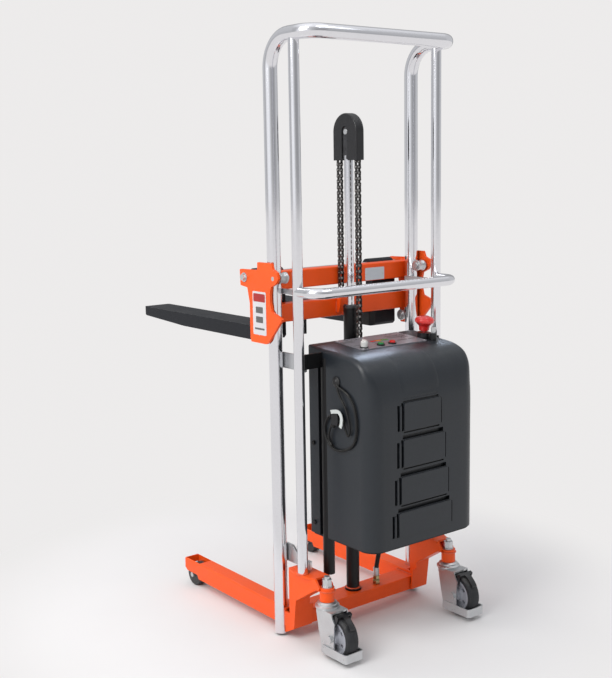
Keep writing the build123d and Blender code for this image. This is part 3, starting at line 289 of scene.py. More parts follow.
STEEL = (0.42, 0.42, 0.43)
surface("chrome_tube", (0.80, 0.80, 0.83), rough=0.12, metal=1.0, vary=0.02, vary_scale=4.0,
        rough_vary=0.03, scratches=0.10)
# orange paint, with painted shade darkening its corners and crevices
surface("orange_paint", (0.92, 0.094, 0.007), rough=0.38, vary=0.05, vary_scale=5.0, peel=0.20,
        peel_scale=420, wear=(0.34, 0.05, 0.01), wear_amount=0.5, coat=0.08, coat_rough=0.18,
        dust=0.05, scratches=0.05, spec=0.26, crevice_shade=0.55, crevice_shade_distance=0.010)
surface("black_paint", (0.0055, 0.0055, 0.006), rough=0.36, vary=0.2, peel=0.2, wear=STEEL,
        wear_amount=0.18, dust=0.03, spec=0.30)
surface("fork_paint", (0.013, 0.0142, 0.0180), rough=0.54, vary=0.14, peel=0.3, peel_scale=500,
        wear=STEEL, wear_amount=0.3, dust=0.03, scratches=0.10, speck=0.10, spec=0.20)
surface("zinc_steel", (0.60, 0.61, 0.62), rough=0.32, metal=0.85, vary=0.04, vary_scale=22.0,
        rough_vary=0.08, grain=0.06, grain_scale=1400)
surface("dark_steel", (0.08, 0.08, 0.085), rough=0.36, metal=0.85, vary=0.2, vary_scale=60.0,
        rough_vary=0.2, grain=0.15, wear=(0.4, 0.4, 0.4), wear_amount=0.4)
# cover plastic, with painted shade darkening its grooves and crevices
surface("cover_plastic", (0.0135, 0.0172, 0.0222), rough=0.38, vary=0.10, vary_scale=6.0,
        grain=0.50, grain_scale=620, peel=0.20, peel_scale=95, rough_vary=0.10, dust=0.02,
        spec=0.46, speck=0.06, wear=(0.075, 0.08, 0.088), wear_amount=0.4, crevice_shade=0.75,
        crevice_shade_distance=0.014)
surface("black_plastic", (0.010, 0.010, 0.012), rough=0.34, vary=0.15, grain=0.3, dust=0.06)
surface("panel_grey", (0.30, 0.29, 0.32), rough=0.30, metal=0.25, vary=0.05,
        brushed=(14.0, 2600.0, 2600.0), rough_vary=0.08, wear=(0.8, 0.8, 0.8), wear_amount=0.3)
surface("black_rubber", (0.010, 0.010, 0.010), rough=0.62, vary=0.2, grain=0.35,
        grain_scale=1100, dust=0.15, spec=0.35)
surface("tyre_rubber", (0.022, 0.023, 0.026), rough=0.60, vary=0.3, vary_scale=30, grain=0.4,
        grain_scale=700, dust=0.25, spec=0.35, speck=0.1, wear=(0.16, 0.15, 0.14),
        wear_amount=0.5, wear_radius=0.004)
surface("hub_plastic", (0.33, 0.34, 0.38), rough=0.42, vary=0.08, grain=0.2, dust=0.12)
surface("roller_nylon", (0.020, 0.020, 0.021), rough=0.45, vary=0.2, grain=0.25, dust=0.2,
        ridges=0.25)
surface("red_plastic", (0.72, 0.016, 0.012), rough=0.24, vary=0.06, coat=0.4, peel=0.04, spec=0.6)
surface("green_plastic", (0.010, 0.26, 0.075), rough=0.25, vary=0.06, coat=0.4, peel=0.04,
        spec=0.6)
surface("white_plastic", (0.74, 0.74, 0.72), rough=0.28, vary=0.03, coat=0.3, peel=0.04,
        dust=0.08)
surface("battery_case", (0.05, 0.05, 0.055), rough=0.45, vary=0.1, grain=0.3)
surface("hydraulic_unit", (0.04, 0.04, 0.045), rough=0.4, vary=0.15, peel=0.3)
surface("charger_case", (0.4, 0.41, 0.43), rough=0.35, metal=1.0, vary=0.08,
        brushed=(2200.0, 8.0, 2200.0))
# finishes that no CAD slot asks for by name
surface("guard_white", (0.60, 0.63, 0.62), rough=0.36, metal=0.20, vary=0.05, vary_scale=24,
        peel=0.2, dust=0.05, wear=(0.35, 0.35, 0.34), wear_amount=0.4)
surface("label_white", (0.60, 0.59, 0.61), rough=0.42, vary=0.03, grain=0.06, dust=0.06)
surface("label_red", (0.36, 0.012, 0.010), rough=0.40, vary=0.08, grain=0.06)
surface("label_grey", (0.10, 0.10, 0.10), rough=0.42, vary=0.06, grain=0.06)
surface("name_plate", (0.60, 0.64, 0.68), rough=0.36, metal=0.15, vary=0.03, rough_vary=0.05)
surface("brass", (0.48, 0.42, 0.22), rough=0.32, metal=1.0, vary=0.12, vary_scale=40,
        grain=0.15, wear=(0.8, 0.7, 0.4), wear_amount=0.4)
surface("chain_steel", (0.055, 0.052, 0.050), rough=0.33, metal=0.75, vary=0.3, vary_scale=90,
        rough_vary=0.2, grain=0.2, wear=(0.42, 0.41, 0.40), wear_amount=0.7, wear_radius=0.0009)
surface("chain_pin", (0.30, 0.29, 0.28), rough=0.28, metal=0.9, vary=0.2, vary_scale=90,
        grain=0.15)
surface("weld_orange", (0.80, 0.095, 0.018), rough=0.36, vary=0.10, peel=0.5, peel_scale=500,
        coat=0.3)
surface("led_red", (0.65, 0.03, 0.02), rough=0.2, vary=0.04, coat=0.5)
surface("led_amber", (0.75, 0.30, 0.03), rough=0.2, vary=0.04, coat=0.5)
surface("led_green", (0.04, 0.42, 0.10), rough=0.2, vary=0.04, coat=0.5)
surface("black_bare", (0.006, 0.006, 0.007), rough=0.5, vary=0.2, grain=0.2)


# --------------------------------------------------------------- mesh helpers
def mm(x, y, z):
    """Millimetres from the mast plane to frame metres."""
    return Vector((x / 1000.0, MAST_Y + y / 1000.0, z / 1000.0))


def mesh_object(name, bm):
    mesh = bpy.data.meshes.new(name)
    bm.to_mesh(mesh)
    bm.free()
    ob = bpy.data.objects.new(name, mesh)
    SCENE.collection.objects.link(ob)
    return ob


def evaluated_mesh(ob):
    depsgraph = bpy.context.evaluated_depsgraph_get()
    return bpy.data.meshes.new_from_object(ob.evaluated_get(depsgraph))


def add_bevel(ob, width, angle):
    bevel = ob.modifiers.new("edges", "BEVEL")
    bevel.width = width
    bevel.segments = 2
    bevel.limit_method = "ANGLE"
    bevel.angle_limit = math.radians(angle)
    return bevel


def add_object(name, bm, materials, body, angle=35.0, bevel=0.0):
    """Object from a bmesh; materials are names with spaces between, angle is the sharp limit."""
    bmesh.ops.recalc_face_normals(bm, faces=bm.faces)
    ob = mesh_object(name, bm)
    for material in materials.split():
        ob.data.materials.append(MATS[material])
    if bevel:
        add_bevel(ob, bevel, angle).harden_normals = False
        baked = evaluated_mesh(ob)
        ob.modifiers.clear()
        ob.data = baked
    for polygon in ob.data.polygons:
        polygon.use_smooth = True
    ob.data.set_sharp_from_angle(angle=math.radians(angle))
    if body:
        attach(ob, body)
    return ob


def new_ring(bm, points):
    return [bm.verts.new(point) for point in points]


def skin(bm, rings, material=0, wrap=True):
    """Faces between neighbouring rings; the last ring may be a single point."""
    for lower, upper in zip(rings, rings[1:]):
        count = len(lower)
        for i in range(count if wrap else count - 1):
            j = (i + 1) % count
            if len(upper) == 1:
                face = bm.faces.new((lower[j], lower[i], upper[0]))
            else:
                face = bm.faces.new((lower[i], lower[j], upper[j], upper[i]))
            face.material_index = material


def cap(bm, ring, material=0):
    bm.faces.new(ring).material_index = material


def add_loft(bm, rings, material=0):
    """Rings of vertices skinned and closed at both ends."""
    skin(bm, rings, material)
    cap(bm, rings[0][::-1], material)
    if len(rings[-1]) > 1:
        cap(bm, rings[-1], material)


def add_prism(bm, outlines):
    """Closed solid through matching outlines of points."""
    rings = [new_ring(bm, outline) for outline in outlines]
    cap(bm, rings[0][::-1])
    cap(bm, rings[-1])
    skin(bm, rings)


def add_box(bm, x0, x1, y0, y1, z0, z1):
    corners = ((x0, y0), (x1, y0), (x1, y1), (x0, y1))
    add_prism(bm, [[mm(x, y, z) for x, y in corners] for z in (z0, z1)])


def add_lathe(bm, profile, origin, axis, segments, material=0):
    """Profile of (radius, height) turned about the axis."""
    axis = Vector(axis).normalized()
    side = axis.orthogonal().normalized()
    other = axis.cross(side)
    turns = [2 * math.pi * k / segments for k in range(segments)]
    spokes = [side * math.cos(turn) + other * math.sin(turn) for turn in turns]
    rings = []
    for radius, height in profile:
        centre = origin + axis * (height / 1000)
        points = [centre + spoke * (radius / 1000) for spoke in spokes] if radius else [centre]
        rings.append(new_ring(bm, points))
    add_loft(bm, rings, material)


def spline(points, per):
    """Catmull-Rom curve with `per` steps between neighbouring points."""
    ends = [points[0] * 2 - points[1]] + points + [points[-1] * 2 - points[-2]]
    curve = []
    for i in range(1, len(ends) - 2):
        p0, p1, p2, p3 = ends[i - 1:i + 3]
        for k in range(per):
            t = k / per
            curve.append(0.5 * ((2 * p1) + (p2 - p0) * t
                                + (2 * p0 - 5 * p1 + 4 * p2 - p3) * t * t
                                + (3 * p1 - p0 - 3 * p2 + p3) * t ** 3))
    curve.append(points[-1])
    return curve


def mm_spline(points, per):
    return spline([mm(*point) for point in points], per)


def add_tube(bm, path, radius, segments, closed=False, wobble=None):
    """Round tube; wobble(station, angle) is a relative change of the radius."""
    count = len(path)
    tangents = []
    for i in range(count):
        if closed:
            tangent = path[(i + 1) % count] - path[i - 1]
        else:
            tangent = path[min(i + 1, count - 1)] - path[max(i - 1, 0)]
        tangents.append(tangent.normalized())
    side = tangents[0].orthogonal().normalized()
    rings = []
    for i, tangent in enumerate(tangents):
        side = (side - tangent * side.dot(tangent)).normalized()
        other = tangent.cross(side)
        ring = []
        for k in range(segments):
            angle = 2 * math.pi * k / segments
            reach = radius / 1000 * (1 + (wobble(i, angle) if wobble else 0))
            spoke = side * math.cos(angle) + other * math.sin(angle)
            ring.append(bm.verts.new(path[i] + spoke * reach))
        rings.append(ring)
    if closed:
        skin(bm, rings + [rings[0]])
    else:
        add_loft(bm, rings)


def rounded_rect(centre, size, corner, steps):
    points = []
    for sx, sy, start in ((1, 1, 0), (-1, 1, 90), (-1, -1, 180), (1, -1, 270)):
        for k in range(steps + 1):
            angle = math.radians(start + 90 * k / steps)
            points.append((centre[0] + sx * (size[0] / 2 - corner) + corner * math.cos(angle),
                           centre[1] + sy * (size[1] / 2 - corner) + corner * math.sin(angle)))
    return points


PAD_INSET = 0.001       # inset of a pad's top, as a share of its shoulder
SHOULDER_STEPS = 4


def add_pad(bm, place, centre, size, corner, steps, height, shoulder, material=0):
    """Raised, almost straight-sided pad; place(across, up, height) gives the 3-D point."""
    outline = rounded_rect(centre, size, corner, steps)
    levels = [(0, 0)]       # inset, height
    for k in range(SHOULDER_STEPS + 1):
        angle = math.pi / 2 * k / SHOULDER_STEPS
        levels.append((PAD_INSET * shoulder * (1 - math.cos(angle)),
                       height - shoulder + shoulder * math.sin(angle)))
    rings = []
    for inset, level in levels:
        shrink_a = 1 - inset / (size[0] / 2)
        shrink_b = 1 - inset / (size[1] / 2)
        rings.append(new_ring(bm, [place(centre[0] + (a - centre[0]) * shrink_a,
                                         centre[1] + (b - centre[1]) * shrink_b, level)
                                   for a, b in outline]))
    skin(bm, rings, material)
    cap(bm, rings[-1], material)
    cap(bm, rings[0][::-1], material)


def facing_left(x):
    """Placer for pads on a plane that looks to -X."""
    return lambda across, up, height: mm(x - height, across, up)


def facing_back(y):
    """Placer for pads on a plane that looks to -Y."""
    return lambda across, up, height: mm(across, y - height, up)


# ------------------------------------------------------- CAD pieces: finishes
# bevel width in metres: pieces that get it
EDGE_WIDTHS = {
    0.0004: "control_panel key_switch_key",
    0.0005: "cylinder_gland cover_bolts switch_bodies",
    0.0006: "chain_wheel_yoke cylinder_barrel chain_anchor_fixed carriage_fasteners frame_bolts",
    0.0007: "box_brackets carriage_crossbars caster_stems guide_rollers_upper"
            " guide_rollers_lower load_roller_left load_roller_right",
    0.0008: "mast_tie_plates chain_anchor_carriage carriage_bumpers",
    0.0009: "leg_left leg_right caster_bracket_left caster_bracket_right base_crossmember"
            " carriage_side_plate_left carriage_side_plate_right",
    0.0014: "fork_left fork_right",
}
EDGED = {piece: width for width, pieces in EDGE_WIDTHS.items() for piece in pieces.split()}

for piece, ob in NODES.items():
    ob.data.materials.clear()
    ob.data.materials.append(MATS[SLOT[piece]])
    if piece in EDGED:
        ob.modifiers.new("join", "WELD").merge_threshold = 0.00001
        add_bevel(ob, EDGED[piece], angle=33).use_clamp_overlap = True
        normals = ob.modifiers.new("normals", "WEIGHTED_NORMAL")
        normals.keep_sharp = False
        normals.weight = 60

# -------------------------------------------------------------- moulded cover
COVER_LEFT, COVER_RIGHT = -182.0, 205.0
COVER_FRONT, COVER_BACK = -56, -309
COVER_TOP, COVER_BOTTOM = 820, 298
TOP_RUN, TOP_DROP = 139, 11             # the top falls slightly towards the back
TOP_REAR = (COVER_FRONT - TOP_RUN, COVER_TOP - TOP_DROP)
WALL_TOP = 640                          # the straight back wall starts here
# (y, z) down the curve from the top to the back wall
BACK_CURVE = (TOP_REAR, (-219, 806), (-240, 801), (-259, 793), (-274, 782), (-288, 763),
              (-297, 742), (-303, 716), (-307, 690), (-308.4, 664), (COVER_BACK, WALL_TOP))
WALL_NORMAL_Z = 660                     # below this the normal points straight back
ROUNDING_Z = 690                        # the corner radius has grown to its lower value here
CORNER_STEPS, ACROSS_STEPS = 8, 10
# raised pads on the back wall: z0, z1, x0, x1
PADS = ((609, 683, -70, 64), (511, 585, -72, 80), (412, 486, -80, 92), (324, 390, -89, 105))
PAD_FACE = facing_back(-308.2)


def corner_radius(y, z):
    if y > TOP_REAR[0] - 1:
        return 5 + 11 * (COVER_FRONT - y) / 140.0
    if z > ROUNDING_Z:
        share = (TOP_REAR[1] - z) / (TOP_REAR[1] - ROUNDING_Z)
        return 16 + 27 * (share * share * (3 - 2 * share))
    return 43 + 2 * min(1, (ROUNDING_Z - z) / 60.0)


def cover_profile():
    """Side profile from the top front edge over the back to the bottom edge.

    Rows are y, z, normal y, normal z, corner radius.
    """
    points = [(COVER_FRONT - TOP_RUN * k / 10, COVER_TOP - TOP_DROP * k / 10)
              for k in range(11)]
    curve = spline([Vector((y, z, 0)) for y, z in BACK_CURVE], 3)
    points += [(point.x, point.y) for point in curve[1:]]
    points += [(COVER_BACK, WALL_TOP - (WALL_TOP - COVER_BOTTOM) * k / 12)
               for k in range(1, 13)]
    rows = []
    for i, (y, z) in enumerate(points):
        before = points[max(i - 1, 0)]
        after = points[min(i + 1, len(points) - 1)]
        along = Vector((after[0] - before[0], after[1] - before[1])).normalized()
        normal = (along.y, -along.x)
        if i == 0:
            normal = (0, 1)
        elif z < WALL_NORMAL_Z:
            normal = (-1, 0)
        rows.append((y, z, *normal, corner_radius(y, z)))
    return rows


COVER_PROFILE = cover_profile()


def cover_row(bm, y, z, normal_y, normal_z, radius):
    """One section across the cover, left to right, with both corners rounded."""
    def corner(edge, side):
        arc = []
        for k in range(CORNER_STEPS + 1):
            angle = math.pi / 2 * k / CORNER_STEPS
            inset = radius * (1 - math.cos(angle))
            x = edge - side * radius + side * radius * math.sin(angle)
            arc.append(bm.verts.new(mm(x, y - normal_y * inset, z - normal_z * inset)))
        return arc

    row = corner(COVER_LEFT, -1)[::-1]
    flat = COVER_RIGHT - COVER_LEFT - 2 * radius
    for k in range(1, ACROSS_STEPS):
        row.append(bm.verts.new(mm(COVER_LEFT + radius + flat * k / ACROSS_STEPS, y, z)))
    return row + corner(COVER_RIGHT, 1)


def cover_solid():
    bm = bmesh.new()
    rows = [cover_row(bm, *station) for station in COVER_PROFILE]
    skin(bm, rows, wrap=False)
    left = bm.verts.new(mm(COVER_LEFT, COVER_FRONT, COVER_BOTTOM))
    right = bm.verts.new(mm(COVER_RIGHT, COVER_FRONT, COVER_BOTTOM))
    bm.faces.new([left] + rows[0] + [right])
    bm.faces.new([right] + rows[-1][::-1] + [left])
    bm.faces.new([row[0] for row in rows] + [left])
    bm.faces.new([right] + [row[-1] for row in rows[::-1]])
    bmesh.ops.recalc_face_normals(bm, faces=bm.faces)
    return mesh_object("rear_cover_shell", bm)


def cut(body, bm):
    """Subtract a closed bmesh from the body."""
    bmesh.ops.recalc_face_normals(bm, faces=bm.faces)
    cutter = mesh_object("cutter", bm)
    boolean = body.modifiers.new("cut", "BOOLEAN")
    boolean.operation = "DIFFERENCE"
    boolean.solver = "EXACT"
    boolean.object = cutter
    bpy.context.view_layer.update()
    result = evaluated_mesh(body)
    body.modifiers.clear()
    body.data = result
    bpy.data.objects.remove(cutter)


def cut_box(body, *limits):
    bm = bmesh.new()
    add_box(bm, *limits)
    cut(body, bm)


def cut_side_channel(body, side):
    """Upright channel with a round inner end in one side of the cover."""
    radius, middle_y = 17, -112
    x = (COVER_LEFT if side < 0 else COVER_RIGHT) - side * 16
    outline = []
    for k in range(17):
        angle = math.radians(side * 90 + 180 * k / 16)
        outline.append((x + radius * math.cos(angle), middle_y + radius * math.sin(angle)))
    for edge in (-side, side):
        outline.append((x + side * 30, middle_y + edge * radius))
    bm = bmesh.new()
    add_prism(bm, [[mm(px, py, z) for px, py in outline] for z in (290, 791)])
    cut(body, bm)


def cut_groove(body, x0, x1, z0, z1, depth):
    cut_box(body, x0, x1, -320, COVER_BACK + depth, z0, z1)


def cut_pad_grooves(body):
    """Grooves around the raised pads."""
    for n, (z0, z1, x0, x1) in enumerate(PADS):
        # wide gap over the pad, thin line under all but the lowest
        gap, depth = (13.4, 10.3) if n else (6.2, 5.2)
        cut_groove(body, x0 - 1.5, x1 - 6.3, z1 + 2.1, z1 + gap, depth)
        if n < 3:
            cut_groove(body, x0 + 0.7, x1 - 4.1, z0 - 5.3, z0 - 1.7, depth=4.1)
        # two upright grooves on the left, a shallow one on the right
        cut_groove(body, x0 - 21.4, x0 - 15.2, z0 + 1.3, z1 - 4.2, depth=7.4)
        cut_groove(body, x0 - 6.9, x0 - 1.1, z0 + 0.4, z1 + 0.9, depth=8.2)
        cut_groove(body, x1 + 1.9, x1 + 4.6, z0 + 2.4, z1 - 2.7, depth=2.6)
    z0, z1, x0, x1 = PADS[0]
    cut_groove(body, x0 + 1.4, x1 - 9.5, z1 + 10.3, z1 + 15.1, depth=3.3)


def build_cover():
    body = cover_solid()
    # shallow recess in the front, then a notch in its top edge
    cut_box(body, COVER_LEFT + 4, COVER_RIGHT - 4, -68, -40, 301, 812)
    cut_box(body, -14, 14, -67, -40, 780, 840)
    for side in (-1, 1):
        cut_side_channel(body, side)
    cut_pad_grooves(body)
    bm = bmesh.new()
    bm.from_mesh(body.data)
    bpy.data.objects.remove(body)
    bmesh.ops.remove_doubles(bm, verts=bm.verts, dist=0.00002)
    # each pad with a narrow upright strip to its left
    for z0, z1, x0, x1 in PADS:
        middle = (z0 + z1) / 2
        add_pad(bm, PAD_FACE, ((x0 + x1) / 2, middle), (x1 - x0 - 1, z1 - z0), corner=5, steps=5,
                height=3.4, shoulder=2.0)
        add_pad(bm, PAD_FACE, (x0 - 11, middle - 2), (6.5, z1 - z0 - 8), corner=2, steps=4,
                height=2.6, shoulder=1.4)
    cover = add_object("rear_cover_moulding", bm, "cover_plastic", "base",
                       angle=38)
    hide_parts("rear_cover")


def build_wrap_panel():
    """Faint raised panel wrapped over the back curve above the pads."""
    centre_x, rise, sunk, backing = -4, 0.9, 0.8, 1.6
    stations = [row for row in COVER_PROFILE if row[1] > 702 and row[0] < -226]
    last = len(stations) - 1
    bm = bmesh.new()
    rows = []
    for i, (y, z, normal_y, normal_z, _) in enumerate(stations):
        half_width = 68 + 4 * min(1.0, (800 - z) / 60.0)
        height = (rise * math.sin(min(1.0, i / 4.0) * math.pi / 2)
                  * math.sin(min(1.0, (last - i) / 2.0) * math.pi / 2))
        row = []
        for k in range(-10, 11):
            t = k / 10.0
            edge = min(1.0, (1 - abs(t)) * 6)
            lift = -sunk + (height + sunk) * math.sin(edge * math.pi / 2)
            row.append(bm.verts.new(mm(centre_x + half_width * t,
                                       y + normal_y * lift, z + normal_z * lift)))
        rows.append(row)
    skin(bm, rows, wrap=False)
    back = []
    for (y, z, normal_y, normal_z, _), row in zip(stations, rows):
        back.append(new_ring(bm, [mm(vert.co.x * 1000, y - normal_y * backing,
                                     z - normal_z * backing) for vert in (row[0], row[-1])]))
    for row, after, rim, rim_after in zip(rows, rows[1:], back, back[1:]):
        bm.faces.new((row[0], after[0], rim_after[0], rim[0]))
        bm.faces.new((after[-1], row[-1], rim[1], rim_after[1]))
        bm.faces.new((rim[0], rim_after[0], rim_after[1], rim[1]))
    bm.faces.new(rows[0][::-1] + back[0])
    bm.faces.new(rows[-1] + back[-1][::-1])
    add_object("rear_cover_wrap_panel", bm, "cover_plastic", "base", angle=50)


build_cover()
build_wrap_panel()

# ------------------------------------------------------------------ lift chain
PITCH = 15.875
WHEEL_TEETH_ANGLE = 24                  # degrees of wheel per link
WHEEL_RADIUS = PITCH / (2 * math.sin(math.radians(WHEEL_TEETH_ANGLE / 2)))
RAM_Y, WHEEL_Z = -15.6, 1385.0
FRONT_FALL_Y, REAR_FALL_Y = RAM_Y + WHEEL_RADIUS, RAM_Y - WHEEL_RADIUS
WHEEL_BLEND_Z = WHEEL_Z - 34            # the blend weights of the falls stop changing from here up
CHAIN_MATERIALS = "chain_steel chain_pin"
PIN = ((1.9, -8.4), (2.4, -8.0), (2.4, -7.3), (2.4, 7.3), (2.4, 8.0), (1.9, 8.4))
ROLLER = ((4.6, -4.4), (4.8, -4.1), (4.8, 4.1), (4.6, 4.4))
# joints round the wheel from front to back: y, z
JOINTS = []
for k in range(8):
    angle = math.radians(WHEEL_TEETH_ANGLE * (k + 0.5))
    JOINTS.append((RAM_Y + WHEEL_RADIUS * math.cos(angle),
                   WHEEL_Z + WHEEL_RADIUS * math.sin(angle)))


def plate_outline(radius, waist, steps=8):
    """Waisted link plate: (along, across) from the middle of the link."""
    points = []
    for side, start in ((1, -65), (-1, 115)):
        for k in range(steps + 1):
            angle = math.radians(start + 130 * k / steps)
            points.append((side * PITCH / 2 + radius * math.cos(angle),
                           radius * math.sin(angle)))
        points.append((0, side * waist))
    return points


OUTER_PLATE = plate_outline(radius=6.9, waist=5.0)
INNER_PLATE = plate_outline(radius=6.6, waist=4.8)


def add_link(bm, start, end, outer):
    """One link between two joints given as (y, z)."""
    middle = ((start[0] + end[0]) / 2, (start[1] + end[1]) / 2)
    along = Vector((end[0] - start[0], end[1] - start[1]))
    stretch = along.length / PITCH
    along.normalize()
    across = Vector((-along.y, along.x))

    def section(x, outline):
        return [mm(x, middle[0] + along.x * s * stretch + across.x * t,
                   middle[1] + along.y * s * stretch + across.y * t) for s, t in outline]

    profile = OUTER_PLATE if outer else INNER_PLATE
    inset = [(s * 0.965, t * 0.93) for s, t in profile]
    edge = 0.25
    for x0, x1 in ((5.8, 7.2), (-7.2, -5.8)) if outer else ((4.45, 5.7), (-5.7, -4.45)):
        add_prism(bm, (section(x0, inset), section(x0 + edge, profile),
                       section(x1 - edge, profile), section(x1, inset)))
    turned, segments = (PIN, 12) if outer else (ROLLER, 16)
    for y, z in (start, end):
        add_lathe(bm, turned, mm(0, y, z), (1, 0, 0), segments, material=1)


def build_chain_wrap():
    bm = bmesh.new()
    for k in range(7):
        add_link(bm, JOINTS[k], JOINTS[k + 1], outer=k % 2 == 0)
    wrap = add_object("lift_chain_on_wheel", bm, CHAIN_MATERIALS, "ram", angle=40)
    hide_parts("chain_wrap")


def build_fall(name, replaced, y, first_z, end_z, wheel_joint, skipped, blend_z):
    """Hanging chain run whose links carry blend weights from 0 to 1 in the layer w.

    skipped is how many of the run's joints the wheel joint stands in for; blend_z holds the
    heights of weight 0 and weight 1.
    """
    count = int((first_z - end_z) / PITCH + 0.5)
    run = [(y, first_z - PITCH * k) for k in range(count + 1)]
    joints = [wheel_joint] + run[skipped:]
    bm = bmesh.new()
    weight_layer = bm.verts.layers.float.new("w")
    for k, (start, end) in enumerate(zip(joints, joints[1:])):
        known = len(bm.verts)
        add_link(bm, start, end, outer=k % 2 == 1)
        bm.verts.ensure_lookup_table()
        middle_z = (start[1] + end[1]) / 2
        weight = min(1.0, max(0.0, (middle_z - blend_z[0]) / (blend_z[1] - blend_z[0])))
        for i in range(known, len(bm.verts)):
            bm.verts[i][weight_layer] = weight
    ob = add_object(name, bm, CHAIN_MATERIALS, None, angle=40)
    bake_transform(ob)
    # every link stays rigid: its vertices share one weight
    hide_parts(replaced)


def build_chain_end(name, y, z0, z1, body):
    """Pin block at the lower end of a fall."""
    outline = rounded_rect((0, 0), (13, 12), corner=2.5, steps=3)
    bm = bmesh.new()
    add_prism(bm, [[mm(x, y + dy, z) for x, dy in outline] for z in (z0, z1)])
    add_lathe(bm, ((2, -10), (3.4, -9), (3.4, 9), (2, 10)), mm(0, y, z1 - 7), (1, 0, 0), 14)
    add_object(name, bm, "dark_steel", body, bevel=0.0006)


build_chain_wrap()
# the front run starts one pitch from the first wheel joint, straight under the wheel's rim
front_offset = FRONT_FALL_Y - JOINTS[0][0]
build_fall("lift_chain_front", "chain_front_fall", FRONT_FALL_Y,
           first_z=JOINTS[0][1] - math.sqrt(PITCH ** 2 - front_offset ** 2), end_z=922.0,
           wheel_joint=JOINTS[0], skipped=0,
           blend_z=(WHEEL_BLEND_Z, 930.0))
build_fall("lift_chain_rear", "chain_rear_fall", REAR_FALL_Y, first_z=WHEEL_Z, end_z=712.0,
           wheel_joint=JOINTS[7], skipped=1,
           blend_z=(720.0, WHEEL_BLEND_Z))
build_chain_end("chain_end_front", FRONT_FALL_Y, 906, 930, "carriage")
build_chain_end("chain_end_rear", REAR_FALL_Y, 700, 722, "base")

# ------------------------------------------------------------------------ hose
HOSE_X, HOSE_Y = 78, -30                # lower end
# x, y, z of the centre line
HOSE_LINE = ((HOSE_X, HOSE_Y, 110), (78.5, -34, 140), (82, -48, 195), (90, -78, 250),
             (94.5, -92, 280), (95, -95, 300))
FERRULE_AXIS = (0, 0.03, 1)
UP = (0, 0, 1)
FERRULE, BRASS = 1, 2                   # material slots
# z, axis, segments, material, (radius, height) profile
FITTINGS = [(98, FERRULE_AXIS, 24, FERRULE, ((8.2, 0), (8.8, 2), (8.8, 20), (8.0, 24)))]
FITTINGS += [(102 + 4.2 * k, FERRULE_AXIS, 24, FERRULE,
              ((8.8, 0), (9.2, 0.8), (9.2, 1.6), (8.8, 2.4))) for k in range(4)]
FITTINGS += [(86, UP, 6, BRASS, ((8.5, 0), (9.5, 1), (9.5, 11), (8.5, 12))),
             (72, UP, 6, BRASS, ((9.5, 0), (11.0, 1), (11.0, 12), (9.5, 13.5))),
             (66.2, UP, 24, BRASS, ((6.8, 0), (6.8, 6)))]


def build_hose():
    bm = bmesh.new()
    add_tube(bm, mm_spline(HOSE_LINE, 10), 6.5, 20,
             wobble=lambda i, angle: 0.012 * math.sin(i * 2.2 + angle * 3))
    for z, axis, segments, material, profile in FITTINGS:
        add_lathe(bm, profile, mm(HOSE_X, HOSE_Y, z), axis, segments, material)
    hose = add_object("hydraulic_hose_assembly", bm, "black_rubber zinc_steel brass", "base",
                      angle=32)
    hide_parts("hydraulic_hose")


build_hose()

# -------------------------------------------------------------- charging cable
CABLE_X = -187.0
# big loop, with its start at the grommet: x, y, z
CABLE_LOOP = ((-181, -173, 735), (-186.5, -178, 729), (CABLE_X, -186, 723), (CABLE_X, -210, 714),
              (CABLE_X, -233, 699), (CABLE_X, -250, 673), (CABLE_X, -257, 630),
              (CABLE_X, -249, 589), (CABLE_X, -229, 568), (CABLE_X, -204, 557),
              (CABLE_X, -178, 552), (CABLE_X, -154, 557), (CABLE_X, -138, 570),
              (CABLE_X, -129, 588), (CABLE_X, -127, 604), (CABLE_X, -132, 622),
              (CABLE_X - 2, -146, 638), (CABLE_X - 4, -160, 645))
# second strand, from the grommet down inside the loop
CABLE_INNER = ((-182, -176, 732), (CABLE_X - 1, -182, 718), (CABLE_X - 2, -196, 696),
               (CABLE_X - 2, -212, 676), (CABLE_X - 3, -224, 656), (CABLE_X - 3, -232, 632),
               (CABLE_X - 3, -233, 612), (CABLE_X - 3, -226, 600), (CABLE_X - 3, -216, 616),
               (CABLE_X - 3, -208, 636), (CABLE_X - 3, -198, 652))
# short strand, from the plug's neck down to the loop
CABLE_SHORT = ((CABLE_X - 6, -170, 632), (CABLE_X - 6, -164, 620), (CABLE_X - 6, -156, 606),
               (CABLE_X - 4, -149, 590), (CABLE_X - 2, -148, 574), (CABLE_X - 2, -158, 562))
GROMMET = ((11.0, -0.5), (14.0, 0.0), (14.5, 2.6), (11.5, 4.6), (7.0, 6.2), (5.2, 7.8), (0, 8.2))
# centre line of the flat hook: x, y, z
HOOK_LINE = ((-182.5, -170, 655), (-196, -171, 656), (-203, -174, 658), (-203.5, -186, 661),
             (-203.5, -202, 663), (-203.5, -212, 658), (-203.5, -217, 647), (-203.5, -216, 634),
             (-203.5, -212, 622))
HOOK_HALF_WIDTH, HOOK_HALF_THICKNESS = 0.0050, 0.0009       # metres


def build_cable():
    bm = bmesh.new()
    for line, radius in ((CABLE_LOOP, 3.1), (CABLE_INNER, 2.9), (CABLE_SHORT, 3.1)):
        add_tube(bm, mm_spline(line, 7), radius, 14)
    add_lathe(bm, GROMMET, mm(-182, -173, 735), (-1, 0, 0), 28, material=1)
    # plug body with a ribbed neck
    add_pad(bm, facing_left(-184), (-186, 640), (26, 32), corner=7, steps=6, height=18,
            shoulder=5, material=1)
    for k in range(4):
        slim = 0.4 * k
        rib = ((6.0 - slim, 0), (6.6 - slim, 0.8), (6.6 - slim, 2.2), (5.4 - slim, 3.0))
        add_lathe(bm, rib, mm(-192, -176 + 2.0 * k, 627 - 3.2 * k), (0, 0.5, -1), 18)
    cable = add_object("charging_cable", bm, "black_rubber black_bare", "base")
    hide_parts("charger_cable")


